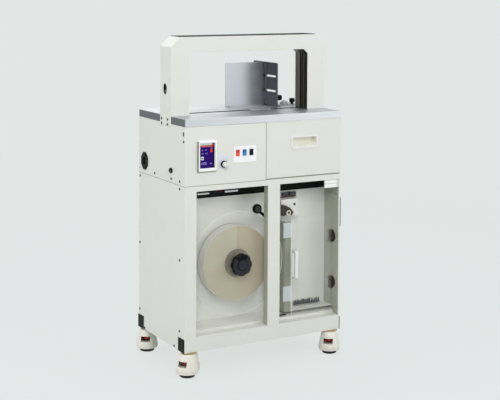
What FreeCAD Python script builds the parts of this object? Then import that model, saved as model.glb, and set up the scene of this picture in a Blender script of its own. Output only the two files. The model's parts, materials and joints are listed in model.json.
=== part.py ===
# Arch banding machine for banknote bundles: an arch over a steel table, on a cabinet that
# holds the band reel, standing on levelling casters. All sizes are in millimetres.
# The origin is on the floor under the middle of the cabinet, the front faces -Y and +Z is up.
import FreeCAD, Part
import math
import os
from types import SimpleNamespace

import Sketcher
from FreeCAD import Placement, Rotation, Vector

sizes = {
    # Cabinet, from the floor up
    "cabinet_wide": 626.0,
    "cabinet_deep": 378.0,
    "caster_tall": 84.0,
    "lower_tall": 568.0,
    "upper_tall": 202.0,
    "sheet": 2.0,
    "seam": 0.4,
    "running": 0.05,
    "clearance": 0.3,
    "overrun": 5.0,
    # Front frame of the cabinet
    "left_post_wide": 44.5,
    "left_bay_wide": 280.0,
    "centre_post_wide": 49.5,
    "top_rail_tall": 20.0,
    "bottom_rail_tall": 52.0,
    "frame_return": 26.0,
    "shelf_deep": 40.0,
    "base_plate": 3.0,
    "angle_leg": 25.0,
    "tray_lip": 9.0,
    "tray_rise": 12.0,
    "side_hem": 6.0,
    "vent_wide": 60.0,
    "vent_tall": 5.0,
    "vent_pitch": 14.0,
    # Plate that carries the reel, and the tension arm on it
    "mount_setback": 100.0,
    "mount_plate": 3.0,
    "mount_drop": 44.0,
    "reel_across": 229.0,
    "reel_up": 275.0,
    "shaft_radius": 10.0,
    "shaft_long": 80.0,
    "collar_radius": 22.0,
    "hub_radius": 38.0,
    "hub_long": 46.0,
    "flange_radius": 182.0,
    "hub_flange_radius": 120.0,
    "flange_thick": 3.0,
    "roll_radius": 131.5,
    "knob_radius": 39.5,
    "knob_thick": 21.0,
    "knob_neck": 24.0,
    "knob_neck_long": 18.4,
    "knob_scallop": 9.0,
    "knob_cap": 17.0,
    "arm_long": 82.5,
    "arm_thick": 5.0,
    "arm_eye": 9.0,
    "arm_wide": 9.0,
    "arm_pin": 6.0,
    "dancer_setback": 36.0,
    "dancer_radius": 17.0,
    "dancer_gap": 1.4,
    "dancer_long": 14.0,
    "dancer_face": 11.0,
    "dancer_axle": 4.0,
    # Band pool on the right, its clear door and the feed roller above it
    "pool_across": 420.0,
    "pool_lip": 26.0,
    "pool_setback": 44.0,
    "pool_up": 76.0,
    "pool_tall": 327.5,
    "door_left": 445.5,
    "door_up": 61.5,
    "door_tall": 354.5,
    "door_thick": 4.0,
    "door_setback": 36.0,
    "hinge_inset": 9.5,
    "hinge_gap": 0.5,
    "hinge_low_up": 140.5,
    "hinge_high_up": 311.5,
    "hinge_tall": 44.0,
    "hinge_leaf": 20.0,
    "hinge_thick": 1.6,
    "hinge_pin": 2.5,
    "ear_thick": 7.0,
    "grip_up": 198.0,
    "grip_tall": 103.0,
    "grip_wide": 12.0,
    "grip_deep": 25.0,
    "grip_bar": 8.0,
    "grip_base": 3.0,
    "grip_corner": 9.0,
    "catch_reach": 7.0,
    "catch_tall": 54.0,
    "catch_thick": 5.0,
    "catch_low_up": 115.5,
    "catch_high_up": 345.0,
    "feed_left": 413.5,
    "feed_drop": 24.0,
    "feed_wide": 70.0,
    "feed_tall": 61.0,
    "feed_setback": 60.0,
    "feed_roller_across": 26.0,
    "feed_roller_up": 14.0,
    "feed_roller_radius": 10.0,
    "feed_roller_long": 11.0,
    "feed_axle": 4.0,
    # Corner guards and the pull on the right side
    "guard_wide": 45.0,
    "guard_tall": 46.0,
    "guard_thick": 3.0,
    "pull_drop": 86.0,
    "pull_tall": 112.0,
    "pull_wide": 42.0,
    "pull_setback": 8.0,
    "pull_thick": 10.0,
    "pull_wall": 4.0,
    "pull_corner": 9.0,
    # Upper housing
    "panel_wide": 315.0,
    "drawer_gap": 2.5,
    "drawer_return": 18.0,
    "drawer_edge": 4.0,
    "drawer_inset": 14.0,
    "drawer_deep": 120.0,
    "drawer_tall": 150.0,
    "runner_wide": 18.0,
    "runner_tall": 3.0,
    "handle_shift": 1.2,
    "handle_up": 102.5,
    "handle_wide": 112.0,
    "handle_tall": 47.0,
    "handle_rim": 7.0,
    "handle_proud": 4.0,
    "handle_cup": 16.0,
    "handle_wall": 2.0,
    "handle_corner": 9.0,
    "screen_left": 45.5,
    "screen_up": 46.5,
    "screen_wide": 73.0,
    "screen_tall": 107.5,
    "screen_proud": 9.0,
    "screen_chamfer": 3.0,
    "glass_left": 7.0,
    "glass_wide": 58.0,
    "glass_up": 13.0,
    "glass_tall": 86.0,
    "glass_deep": 1.5,
    "dial_across": 147.0,
    "dial_up": 68.3,
    "dial_radius": 12.0,
    "dial_cap": 9.0,
    "dial_skirt": 8.0,
    "dial_long": 22.0,
    "dial_shaft": 3.0,
    "switch_across": 202.3,
    "switch_pitch": 26.75,
    "switch_up": 103.0,
    "switch_wide": 13.0,
    "switch_tall": 21.0,
    "switch_proud": 5.0,
    "switch_body": 12.0,
    "switch_travel": 2.5,
    "inlet_setback": 327.0,
    "inlet_up": 46.0,
    "inlet_wide": 56.0,
    "inlet_tall": 63.0,
    "inlet_proud": 3.0,
    "inlet_corner": 18.0,
    "inlet_body": 26.0,
    "inlet_socket_wide": 16.0,
    "inlet_socket_tall": 24.0,
    "inlet_socket_deep": 17.0,
    "socket_setback": 105.5,
    "socket_up": 42.0,
    "socket_radius": 9.0,
    "socket_proud": 8.0,
    "socket_bore": 6.0,
    # Table and the band head under it
    "table_thick": 26.0,
    "table_gap_setback": 161.0,
    "table_gap": 16.0,
    "head_across": 346.0,
    "head_wide": 92.0,
    "head_setback": 144.0,
    "head_deep": 46.0,
    "head_plate": 4.0,
    "press_tall": 118.0,
    "press_wide": 60.0,
    "press_wall": 6.0,
    "press_jaw": 14.0,
    "motor_radius": 34.0,
    "motor_long": 96.0,
    "gearbox_wide": 76.0,
    "gearbox_deep": 60.0,
    "control_across": 24.0,
    "control_setback": 70.0,
    "control_wide": 170.0,
    "control_deep": 34.0,
    "control_tall": 130.0,
    # Arch
    "arch_leg": 72.0,
    "arch_clear": 220.0,
    "arch_beam": 53.5,
    "arch_setback": 112.0,
    "arch_deep": 87.0,
    "arch_foot": 9.0,
    "outer_chamfer": 34.0,
    "inner_chamfer": 16.0,
    "track_back": 4.0,
    "track_rib": 4.0,
    "rib_wide": 7.0,
    "strip_thick": 1.5,
    "strip_inset": 3.0,
    "access_up": 86.7,
    "access_tall": 38.0,
    "access_wide": 28.5,
    "access_shift": 5.0,
    # Stops on the table
    "side_stop_across": 475.0,
    "side_stop_setback": 195.0,
    "side_stop_deep": 180.0,
    "stop_tall": 164.5,
    "stop_plate": 2.5,
    "stop_corner": 8.0,
    "stop_slot_low": 59.0,
    "stop_slot_high": 114.0,
    "stop_slot_tall": 7.0,
    "stop_slot_long": 73.5,
    "stop_slot_inset": 16.0,
    "stop_foot": 24.0,
    "rear_stop_wide": 160.0,
    "rear_stop_back": 17.5,
    "rear_stop_ear": 26.0,
    "stop_bolt": 3.0,
    "stop_bolt_head": 5.5,
    "stop_bolt_cap": 4.5,
    "stop_bolt_head_tall": 3.0,
    "bar_setback": 237.0,
    "bar_deep": 34.0,
    "bar_long": 87.0,
    "bar_thick": 4.0,
    "bar_slot_long": 15.0,
    "bar_slot_wide": 7.0,
    "dome_across": 40.0,
    "dome_radius": 15.5,
    "thumb_across": 75.0,
    "thumb_radius": 11.0,
    "thumb_tall": 16.0,
    "thumb_collar": 6.0,
    "thumb_stud": 3.0,
    "side_thumb_up": 35.0,
    "side_thumb_inset": 14.0,
    # Panel screws
    "screw_radius": 3.6,
    "screw_tall": 1.6,
    "screw_front": 40.0,
    "screw_back": 10.0,
    "screw_edge": 13.0,
    "screw_low": 67.0,
    "screw_mid": 311.5,
    "foot_screw": 6.0,
    # Levelling casters
    "caster_side_inset": 27.0,
    "caster_front_inset": 20.0,
    "ring_radius": 27.0,
    "ring_thick": 5.0,
    "stem_radius": 6.0,
    "stem_long": 18.0,
    "bell_low": 13.0,
    "bell_low_radius": 37.0,
    "bell_waist": 24.0,
    "bell_waist_radius": 39.0,
    "bell_top_radius": 27.0,
    "bell_wall": 3.0,
    "bell_roof": 4.0,
    "nut_up": 28.0,
    "nut_thick": 7.0,
    "pad_forward": 10.0,
    "pad_radius": 26.0,
    "pad_thick": 8.0,
    "pad_stem": 6.0,
    "adjuster_up": 44.0,
    "adjuster_thick": 11.0,
    "adjuster_radius": 18.0,
    "window_up": 38.0,
    "window_tall": 19.0,
    "window_wide": 34.0,
    "wheel_back": 37.0,
    "wheel_radius": 20.0,
    "wheel_wide": 21.0,
    "wheel_lift": 3.0,
    "wheel_axle": 4.0,
    "cheek_thick": 4.0,
    "cheek_tail": 10.0,
    "bay_tall": 47.0,
}

# How far each caster is swivelled, in degrees, from a window that faces the front
front_left_turn = -60.0
front_right_turn = -41.0
rear_left_turn = -37.0
rear_right_turn = -20.0
arm_lean = 140.0
dancer_bearing = 67.6
knob_lobes = 8
vent_rows = 6
track_ribs = 5
square_turn = 90.0
quarter_turn = Rotation(Vector(1, 0, 0), -square_turn)
side_turn = Rotation(Vector(0, 1, 0), square_turn)
no_turn = Rotation()
corner_share = math.sqrt(2) - 1

doc = FreeCAD.newDocument("banding_machine")
sheet = doc.addObject("Spreadsheet::Sheet", "Sizes")
nodes = {}


class Size:
    # A length with its value and the sheet expression that gives it
    def __init__(self, value, text):
        self.value = value
        self.text = text

    def __float__(self):
        return self.value

    def __neg__(self):
        return Size(-self.value, "-(%s)" % self.text)

    def __add__(self, other):
        return Size(self.value + float(other), "(%s + %s)" % (self.text, words(other)))

    def __sub__(self, other):
        return Size(self.value - float(other), "(%s - %s)" % (self.text, words(other)))

    def __mul__(self, other):
        return Size(self.value * float(other), "(%s * %s)" % (self.text, words(other)))

    def __truediv__(self, other):
        return Size(self.value / float(other), "(%s / %s)" % (self.text, words(other)))


def words(number):
    return number.text if isinstance(number, Size) else "%.9f" % number


def fill_sheet():
    named = {}
    for row, (name, value) in enumerate(sizes.items(), start=1):
        sheet.set("A%d" % row, name)
        sheet.set("B%d" % row, str(value))
        sheet.setAlias("B%d" % row, name)
        named[name] = Size(value, "Sizes." + name)
    doc.recompute()
    return SimpleNamespace(**named)


def bind(piece, setting, size):
    if isinstance(size, Size):
        piece.setExpression(setting, size.text)


def place(piece, x, y, z, turn=no_turn):
    piece.Placement = Placement(Vector(0, 0, 0), turn)
    for axis, size in zip("xyz", (x, y, z)):
        bind(piece, "Placement.Base." + axis, size)
    return piece


def box(name, x, y, z):
    # Each of x, y and z is a pair: where the box starts and where it ends
    piece = doc.addObject("Part::Box", name)
    for side, (low, high) in zip(("Length", "Width", "Height"), (x, y, z)):
        bind(piece, side, high - low)
    return place(piece, x[0], y[0], z[0])


def rod(name, radius, along, ends, centre):
    # centre gives the two places across the axis, in the order x, y, z
    piece = doc.addObject("Part::Cylinder", name)
    bind(piece, "Radius", radius)
    bind(piece, "Height", ends[1] - ends[0])
    if along == "x":
        return place(piece, ends[0], centre[0], centre[1], side_turn)
    if along == "y":
        return place(piece, centre[0], ends[0], centre[1], quarter_turn)
    return place(piece, centre[0], centre[1], ends[0])


def draw_loop(sketch, points):
    first = sketch.GeometryCount
    count = len(points)
    for near, far in zip(points, points[1:] + points[:1]):
        start = Vector(float(near[0]), float(near[1]), 0)
        end = Vector(float(far[0]), float(far[1]), 0)
        sketch.addGeometry(Part.LineSegment(start, end), False)
    for index in range(count):
        sketch.addConstraint(Sketcher.Constraint(
            "Coincident", first + index, 2, first + (index + 1) % count, 1))
    for index, point in enumerate(points):
        for kind, size in zip(("DistanceX", "DistanceY"), point):
            made = sketch.addConstraint(Sketcher.Constraint(
                kind, -1, 1, first + index, 1, float(size)))
            bind(sketch, "Constraints[%d]" % made, size)


def draw_circle(sketch, centre, radius):
    middle = Vector(float(centre[0]), float(centre[1]), 0)
    ring = sketch.addGeometry(Part.Circle(middle, Vector(0, 0, 1), float(radius)), False)
    for kind, size in zip(("DistanceX", "DistanceY"), centre):
        made = sketch.addConstraint(Sketcher.Constraint(kind, -1, 1, ring, 3, float(size)))
        bind(sketch, "Constraints[%d]" % made, size)
    made = sketch.addConstraint(Sketcher.Constraint("Radius", ring, float(radius)))
    bind(sketch, "Constraints[%d]" % made, radius)


def new_sketch(body, role, offset):
    sketch = body.newObject("Sketcher::SketchObject", body.Name + "_outline")
    plane = [part for part in body.Origin.OriginFeatures if part.Role == role][0]
    sketch.AttachmentSupport = [(plane, "")]
    sketch.MapMode = "FlatFace"
    bind(sketch, "AttachmentOffset.Base.z", offset)
    return sketch


def prism(name, along, ends, points, openings=(), rings=()):
    # An outline padded along an axis; openings are more outlines and rings are round holes
    role = {"x": "YZ_Plane", "y": "XZ_Plane", "z": "XY_Plane"}[along]
    offset = -ends[1] if along == "y" else ends[0]
    body = doc.addObject("PartDesign::Body", name)
    sketch = new_sketch(body, role, offset)
    draw_loop(sketch, points)
    for opening in openings:
        draw_loop(sketch, opening)
    for centre, radius in rings:
        draw_circle(sketch, centre, radius)
    pad = body.newObject("PartDesign::Pad", name + "_pad")
    pad.Profile = sketch
    bind(pad, "Length", ends[1] - ends[0])
    return body


def turned(name, points, along, centre):
    # A profile of (radius, place along the axis) revolved about an axis
    body = doc.addObject("PartDesign::Body", name)
    sketch = new_sketch(body, "XZ_Plane", 0)
    draw_loop(sketch, points)
    spin = body.newObject("PartDesign::Revolution", name + "_spin")
    spin.Profile = sketch
    spin.ReferenceAxis = (sketch, ["V_Axis"])
    if along == "x":
        return place(body, 0, centre[0], centre[1], side_turn)
    if along == "y":
        return place(body, centre[0], 0, centre[1], quarter_turn)
    return place(body, centre[0], centre[1], 0)


def rectangle(across, up):
    return [(across[0], up[0]), (across[1], up[0]), (across[1], up[1]), (across[0], up[1])]


def joined(name, *pieces):
    piece = doc.addObject("Part::MultiFuse", name)
    piece.Shapes = list(pieces)
    return piece


def group(name, *pieces):
    piece = doc.addObject("Part::Compound", name)
    piece.Links = list(pieces)
    return piece


def cut(name, base, *tools):
    piece = doc.addObject("Part::Cut", name)
    piece.Base = base
    piece.Tool = tools[0] if len(tools) == 1 else joined(name + "_tools", *tools)
    return piece


def edges_along(piece, axis):
    # Numbers of the straight edges of a piece that run along an axis
    found = []
    for number, edge in enumerate(piece.Shape.Edges, start=1):
        run = edge.Vertexes[-1].Point - edge.Vertexes[0].Point
        slack = abs(abs(run.dot(axis)) - run.Length)
        if isinstance(edge.Curve, Part.Line) and slack < edge.Length / 1000:
            found.append(number)
    return found


def rounded(name, base, radius, axis):
    # The base with its straight edges along an axis rounded
    doc.recompute()
    piece = doc.addObject("Part::Fillet", name)
    piece.Base = base
    piece.Edges = [(edge, float(radius), float(radius)) for edge in edges_along(base, axis)]
    return piece


def node(name, piece):
    piece.Label = name
    nodes[name] = piece


s = fill_sheet()
nothing = s.sheet * 0
x_axis = Vector(1, 0, 0)
y_axis = Vector(0, 1, 0)
z_axis = Vector(0, 0, 1)

# Planes that the whole machine shares
left = -s.cabinet_wide / 2
right = s.cabinet_wide / 2
front = -s.cabinet_deep / 2
back = s.cabinet_deep / 2
base = s.caster_tall
seam_up = base + s.lower_tall
under = seam_up + s.upper_tall
deck = under + s.table_thick
centre_left = left + s.left_post_wide + s.left_bay_wide
centre_right = centre_left + s.centre_post_wide
shelf_up = base + s.bottom_rail_tall
lintel = seam_up - s.top_rail_tall
inside_left = left + s.sheet
inside_right = right - s.sheet
mount_front = front + s.mount_setback
arch_front = front + s.arch_setback
arch_back = arch_front + s.arch_deep
arch_half = s.cabinet_wide / 2 - s.arch_leg
arch_inner_top = deck + s.arch_clear
arch_top = arch_inner_top + s.arch_beam
arch_low = under - s.arch_foot


def cabinet_frame():
    face_back = front + s.sheet
    face = prism("frame_face", "y", (front, face_back), [
        (left, base), (right, base), (right, shelf_up), (centre_right, shelf_up),
        (centre_right, lintel), (right, lintel), (right, seam_up), (left, seam_up)],
        [rectangle((left + s.left_post_wide, centre_left), (shelf_up, lintel))])
    depth = (face_back, face_back + s.frame_return)
    height = (shelf_up, lintel)
    jambs = [
        box("left_jamb", (left + s.left_post_wide - s.sheet, left + s.left_post_wide), depth, height),
        box("centre_left_jamb", (centre_left, centre_left + s.sheet), depth, height),
        box("centre_right_jamb", (centre_right - s.sheet, centre_right), depth, height),
        box("lintel_return", (inside_left, inside_right), depth, (lintel, lintel + s.sheet)),
        box("shelf", (inside_left, inside_right), (face_back, front + s.shelf_deep),
            (shelf_up - s.sheet, shelf_up)),
        box("base_sheet", (inside_left, inside_right), (face_back, back - s.sheet),
            (base, base + s.base_plate))]
    lip = front + s.shelf_deep
    tray_front = shelf_up + s.tray_lip
    tray_back = tray_front + s.tray_rise
    tray = prism("tray", "x", (inside_left, inside_right), [
        (lip - s.sheet, shelf_up - s.sheet), (lip, shelf_up - s.sheet), (lip, tray_front - s.sheet),
        (mount_front, tray_back - s.sheet), (mount_front, tray_back), (lip - s.sheet, tray_front)])
    angles = []
    for name, near, run in (("left", inside_left, s.angle_leg), ("right", inside_right, -s.angle_leg)):
        wall = near + (s.sheet if name == "left" else -s.sheet)
        rear = back - s.sheet
        up = (base + s.base_plate, seam_up - s.seam)
        across = (near, near + run) if name == "left" else (near + run, near)
        thin = (near, wall) if name == "left" else (wall, near)
        angles.append(box(name + "_angle_back", across, (rear - s.sheet, rear), up))
        angles.append(box(name + "_angle_side", thin, (rear - s.angle_leg, rear), up))
    tie = box("rear_tie", (inside_left, inside_right), (back - s.sheet - s.angle_leg, back - s.sheet),
              (seam_up - s.seam - s.sheet, seam_up - s.seam))
    node("cabinet_frame", joined("welded_frame", face, *jambs, tray, *angles, tie))


def side_panels():
    depth = (front + s.sheet, back)
    height = (base, seam_up - s.seam)
    node("left_side_panel", box("left_panel", (left, inside_left), depth, height))
    panel = box("right_panel", (inside_right, right), depth, height)
    between = (shelf_up + s.seam, lintel - s.seam)
    hem = box("right_hem", (right - s.side_hem, right), (front, front + s.sheet), between)
    node("right_side_panel", joined("right_panel_hemmed", panel, hem))
    across = (inside_left, inside_right)
    rear = box("rear_sheet", across, (back - s.sheet, back), height)
    vents = []
    for row in range(vent_rows):
        up = seam_up - s.vent_pitch * (row + 3)
        for name, middle in (("left", left / 2), ("right", right / 2)):
            vents.append(box("%s_vent_%d" % (name, row), (middle - s.vent_wide, middle + s.vent_wide),
                             (back - s.overrun, back + s.overrun), (up, up + s.vent_tall)))
    node("rear_panel", cut("vented_rear", rear, *vents))


reel_x = left + s.reel_across
reel_z = base + s.reel_up
dancer_front = front + s.dancer_setback
arm_front = dancer_front + s.dancer_long + s.clearance
arm_back = arm_front + s.arm_thick
dancer_reach = s.flange_radius + s.dancer_radius + s.dancer_gap
dancer_x = reel_x + dancer_reach * math.cos(math.radians(dancer_bearing))
dancer_z = reel_z + dancer_reach * math.sin(math.radians(dancer_bearing))
arm_x = dancer_x - s.arm_long * math.cos(math.radians(arm_lean))
arm_z = dancer_z - s.arm_long * math.sin(math.radians(arm_lean))
mount_top = lintel - s.mount_drop
collar_front = mount_front - s.sheet
hub_back = collar_front - s.clearance
hub_front = hub_back - s.flange_thick - s.hub_long


def mounting_plate():
    plate_back = mount_front + s.mount_plate
    plate = box("mount_sheet", (inside_left, inside_right), (mount_front, plate_back),
                (base + s.base_plate, mount_top))
    fold = box("mount_fold", (inside_left, inside_right), (plate_back, plate_back + s.angle_leg),
               (mount_top - s.mount_plate, mount_top))
    collar = rod("shaft_collar", s.collar_radius, "y", (collar_front, mount_front), (reel_x, reel_z))
    shaft = rod("reel_shaft", s.shaft_radius, "y", (mount_front - s.shaft_long, mount_front),
                (reel_x, reel_z))
    pin = rod("arm_pin", s.arm_pin, "y", (arm_front - s.sheet, mount_front), (arm_x, arm_z))
    node("mounting_plate", joined("mount_welded", plate, fold, collar, shaft, pin))


def reel():
    bore = s.shaft_radius + s.running
    flange_front = hub_back - s.flange_thick
    hub = turned("hub_turned", [
        (bore, hub_front), (s.hub_radius, hub_front), (s.hub_radius, flange_front),
        (s.hub_flange_radius, flange_front), (s.hub_flange_radius, hub_back), (bore, hub_back)],
        "y", (reel_x, reel_z))
    node("reel_hub", hub)
    roll_front = hub_front + s.clearance * 2
    roll_back = flange_front - s.clearance
    core = s.hub_radius + s.clearance
    node("band_roll", turned("roll_turned", [
        (core, roll_front), (s.roll_radius, roll_front), (s.roll_radius, roll_back),
        (core, roll_back)], "y", (reel_x, reel_z)))
    node("reel_front_flange", turned("front_flange_turned", [
        (bore, hub_front - s.flange_thick), (s.flange_radius, hub_front - s.flange_thick),
        (s.flange_radius, hub_front), (bore, hub_front)], "y", (reel_x, reel_z)))
    neck_back = hub_front - s.flange_thick - s.clearance
    knob_back = neck_back - s.knob_neck_long
    knob_front = knob_back - s.knob_thick
    shaft_end = mount_front - s.shaft_long
    edge = s.screen_chamfer
    knob = turned("knob_turned", [
        (0, knob_front), (s.knob_cap, knob_front), (s.knob_cap + edge, knob_front + edge),
        (s.knob_radius - edge, knob_front + edge), (s.knob_radius, knob_front + edge * 2),
        (s.knob_radius, knob_back - edge), (s.knob_radius - edge, knob_back),
        (s.knob_neck, knob_back), (s.knob_neck, neck_back), (bore, neck_back),
        (bore, shaft_end - s.clearance), (0, shaft_end - s.clearance)], "y", (reel_x, reel_z))
    scallops = []
    for lobe in range(knob_lobes):
        angle = 2 * math.pi * (lobe + 0.5) / knob_lobes
        reach = s.knob_radius + s.knob_scallop / 2
        scallops.append(rod("scallop_%d" % lobe, s.knob_scallop, "y",
                            (knob_front - s.overrun, knob_back + s.clearance),
                            (reel_x + reach * math.cos(angle), reel_z + reach * math.sin(angle))))
    node("reel_knob", cut("knob_lobed", knob, *scallops))


def tension_arm():
    depth = (arm_front, arm_back)
    eye = rod("arm_eye", s.arm_eye, "y", depth, (arm_x, arm_z))
    tip = rod("arm_tip", s.arm_eye, "y", depth, (dancer_x, dancer_z))
    bar = doc.addObject("Part::Box", "arm_bar")
    bind(bar, "Length", s.arm_long)
    bind(bar, "Width", s.arm_thick)
    bind(bar, "Height", s.arm_wide)
    drop = s.arm_wide / 2
    place(bar, arm_x + drop * math.sin(math.radians(arm_lean)), arm_front,
          arm_z - drop * math.cos(math.radians(arm_lean)), Rotation(y_axis, -arm_lean))
    axle = rod("dancer_axle", s.dancer_axle, "y", (dancer_front + s.sheet, arm_front),
               (dancer_x, dancer_z))
    hole = rod("arm_bore", s.arm_pin + s.running, "y", (arm_front - s.overrun, arm_back + s.overrun),
               (arm_x, arm_z))
    node("tension_arm", cut("arm_bored", joined("arm_solid", eye, tip, bar, axle), hole))
    inner = s.dancer_axle + s.running
    end = arm_front - s.clearance
    rim = s.dancer_radius - s.sheet
    node("dancer_roller", turned("dancer_turned", [
        (0, dancer_front), (s.dancer_face, dancer_front), (rim, dancer_front + s.sheet / 2),
        (s.dancer_radius, dancer_front + s.sheet * 2), (s.dancer_radius, end - s.sheet),
        (rim, end), (inner, end), (inner, dancer_front + s.sheet - s.running),
        (0, dancer_front + s.sheet - s.running)], "y", (dancer_x, dancer_z)))


pool_x = left + s.pool_across
pool_front = front + s.pool_setback
pool_low = base + s.pool_up
door_x = left + s.door_left
door_front = front + s.door_setback
door_back = door_front + s.door_thick
door_low = base + s.door_up
hinge_x = inside_right - s.hinge_inset
hinge_y = door_front + s.door_thick / 2
door_right = hinge_x - s.hinge_pin - s.hinge_gap


def band_pool():
    height = (pool_low, pool_low + s.pool_tall)
    wall = box("pool_wall", (pool_x, pool_x + s.sheet), (pool_front, mount_front), height)
    floor = box("pool_floor", (pool_x, inside_right), (pool_front, mount_front),
                (pool_low, pool_low + s.sheet))
    lip = box("pool_lip", (pool_x, pool_x + s.pool_lip), (pool_front, pool_front + s.sheet), height)
    catches = []
    for name, up in (("low", base + s.catch_low_up), ("high", base + s.catch_high_up)):
        catches.append(box(name + "_catch", (pool_x - s.catch_reach, door_x - s.sheet),
                           (pool_front - s.catch_thick, pool_front), (up, up + s.catch_tall)))
    node("pool_box", joined("pool_folded", wall, floor, lip, *catches))


def pool_door():
    pane = box("door_sheet", (door_x, door_right), (door_front, door_back),
               (door_low, door_low + s.door_tall))
    ears = []
    for name, up in (("low", base + s.hinge_low_up), ("high", base + s.hinge_high_up)):
        ears.append(box(name + "_ear", (door_right - s.ear_thick, door_right),
                        (door_back, hinge_y + s.hinge_leaf), (up, up + s.hinge_tall)))
    node("pool_door", joined("door_eared", pane, *ears))
    grip_low = base + s.grip_up
    grip_high = grip_low + s.grip_tall
    grip_front = door_front - s.grip_deep
    across = (door_x, door_x + s.grip_wide)
    bow = box("grip_bow", across, (grip_front, door_front + s.grip_corner * 2), (grip_low, grip_high))
    bow = rounded("grip_rounded", bow, s.grip_corner, x_axis)
    behind = box("grip_behind", (door_x - s.overrun, door_x + s.grip_wide + s.overrun),
                 (door_front, door_front + s.grip_corner * 2 + s.overrun),
                 (grip_low - s.overrun, grip_high + s.overrun))
    hollow = box("grip_hollow", (door_x - s.overrun, door_x + s.grip_wide + s.overrun),
                 (grip_front + s.grip_bar, door_front - s.grip_base),
                 (grip_low + s.grip_bar, grip_high - s.grip_bar))
    node("door_grip", cut("grip_open", bow, behind, hollow))


def hinges():
    moving = []
    fixed = []
    wall_side = hinge_x + s.hinge_pin + s.hinge_gap
    for name, low in (("low", base + s.hinge_low_up), ("high", base + s.hinge_high_up)):
        high = low + s.hinge_tall
        third = low + s.hinge_tall / 3
        two_thirds = low + s.hinge_tall * 2 / 3
        depth = (hinge_y, hinge_y + s.hinge_leaf)
        clear_y = hinge_y + s.hinge_pin + s.clearance
        leaf = box(name + "_moving_leaf", (door_right, door_right + s.hinge_thick), depth, (low, high))
        bottom = rod(name + "_bottom_knuckle", s.hinge_pin, "z", (low, third), (hinge_x, hinge_y))
        top = rod(name + "_top_knuckle", s.hinge_pin, "z", (two_thirds, high), (hinge_x, hinge_y))
        room = box(name + "_moving_room", (door_right - s.overrun, wall_side),
                   (hinge_y - s.overrun, clear_y), (third, two_thirds))
        moving.append(cut(name + "_moving", joined(name + "_moving_solid", leaf, bottom, top), room))
        plate = box(name + "_fixed_leaf", (wall_side - s.hinge_thick, wall_side), (clear_y, depth[1]),
                    (low, high))
        reach = (third + s.clearance, two_thirds - s.clearance)
        tongue = box(name + "_tongue", (wall_side - s.hinge_thick, wall_side), (hinge_y, clear_y), reach)
        pin = rod(name + "_fixed_knuckle", s.hinge_pin, "z", reach, (hinge_x, hinge_y))
        packer = box(name + "_packer", (wall_side, inside_right), (clear_y, depth[1]), (low, high))
        fixed.append(joined(name + "_fixed", plate, tongue, pin, packer))
    node("hinge_plates", group("fixed_leaves", *fixed))
    node("hinge_leaves", group("moving_leaves", *moving))


def feed_unit():
    x = left + s.feed_left
    z = mount_top - s.feed_drop - s.feed_tall
    y = front + s.feed_setback
    plate = box("feed_plate", (x, x + s.feed_wide), (y, y + s.sheet), (z, z + s.feed_tall))
    roof = box("feed_roof", (x, x + s.feed_wide), (y, mount_front),
               (z + s.feed_tall - s.sheet, z + s.feed_tall))
    side = box("feed_side", (x + s.feed_wide - s.sheet, x + s.feed_wide), (y, mount_front),
               (z, z + s.feed_tall))
    centre = (x + s.feed_roller_across, z + s.feed_roller_up)
    roller_back = y - s.clearance
    roller_front = roller_back - s.feed_roller_long
    axle = rod("feed_axle", s.feed_axle, "y", (roller_front - s.sheet, y), centre)
    node("feed_bracket", joined("feed_folded", plate, roof, side, axle))
    inner = s.feed_axle + s.running
    groove = s.feed_roller_radius - s.sheet / 2
    node("feed_roller", turned("feed_roller_turned", [
        (inner, roller_front), (groove, roller_front), (s.feed_roller_radius, roller_front + s.sheet),
        (s.feed_roller_radius, roller_back - s.sheet), (groove, roller_back), (inner, roller_back)],
        "y", centre))


def outer_trim():
    guards = []
    sides = {"left": (left - s.guard_thick, left), "right": (right, right + s.guard_thick)}
    ends = {"front": (front, front + s.guard_wide), "rear": (back - s.guard_wide, back)}
    up = (base, base + s.guard_tall)
    for side, across in sides.items():
        for end, depth in ends.items():
            guards.append(box("%s_%s_guard" % (side, end), across, depth, up))
    node("corner_guards", group("guards", *guards))
    y = front + s.pull_setback
    z = seam_up - s.pull_drop - s.pull_tall
    block = prism("pull_block", "x", (right, right + s.pull_thick),
                  rectangle((y, y + s.pull_wide), (z, z + s.pull_tall)))
    hollow = box("pull_hollow", (right + s.pull_wall, right + s.pull_thick + s.overrun),
                 (y + s.pull_wall, y + s.pull_wide - s.pull_wall),
                 (z + s.pull_wall, z + s.pull_tall - s.pull_wall))
    node("side_pull", cut("pull_cup", rounded("pull_rounded", block, s.pull_corner, x_axis), hollow))


panel_right = left + s.panel_wide
drawer_left = panel_right + s.drawer_gap
drawer_low = seam_up + s.drawer_edge
drawer_high = under - s.drawer_edge + s.seam
drawer_face_back = front + s.drawer_return + s.sheet
shell_low = seam_up
floor_up = shell_low + s.sheet
leg_in = left + s.arch_leg


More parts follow.
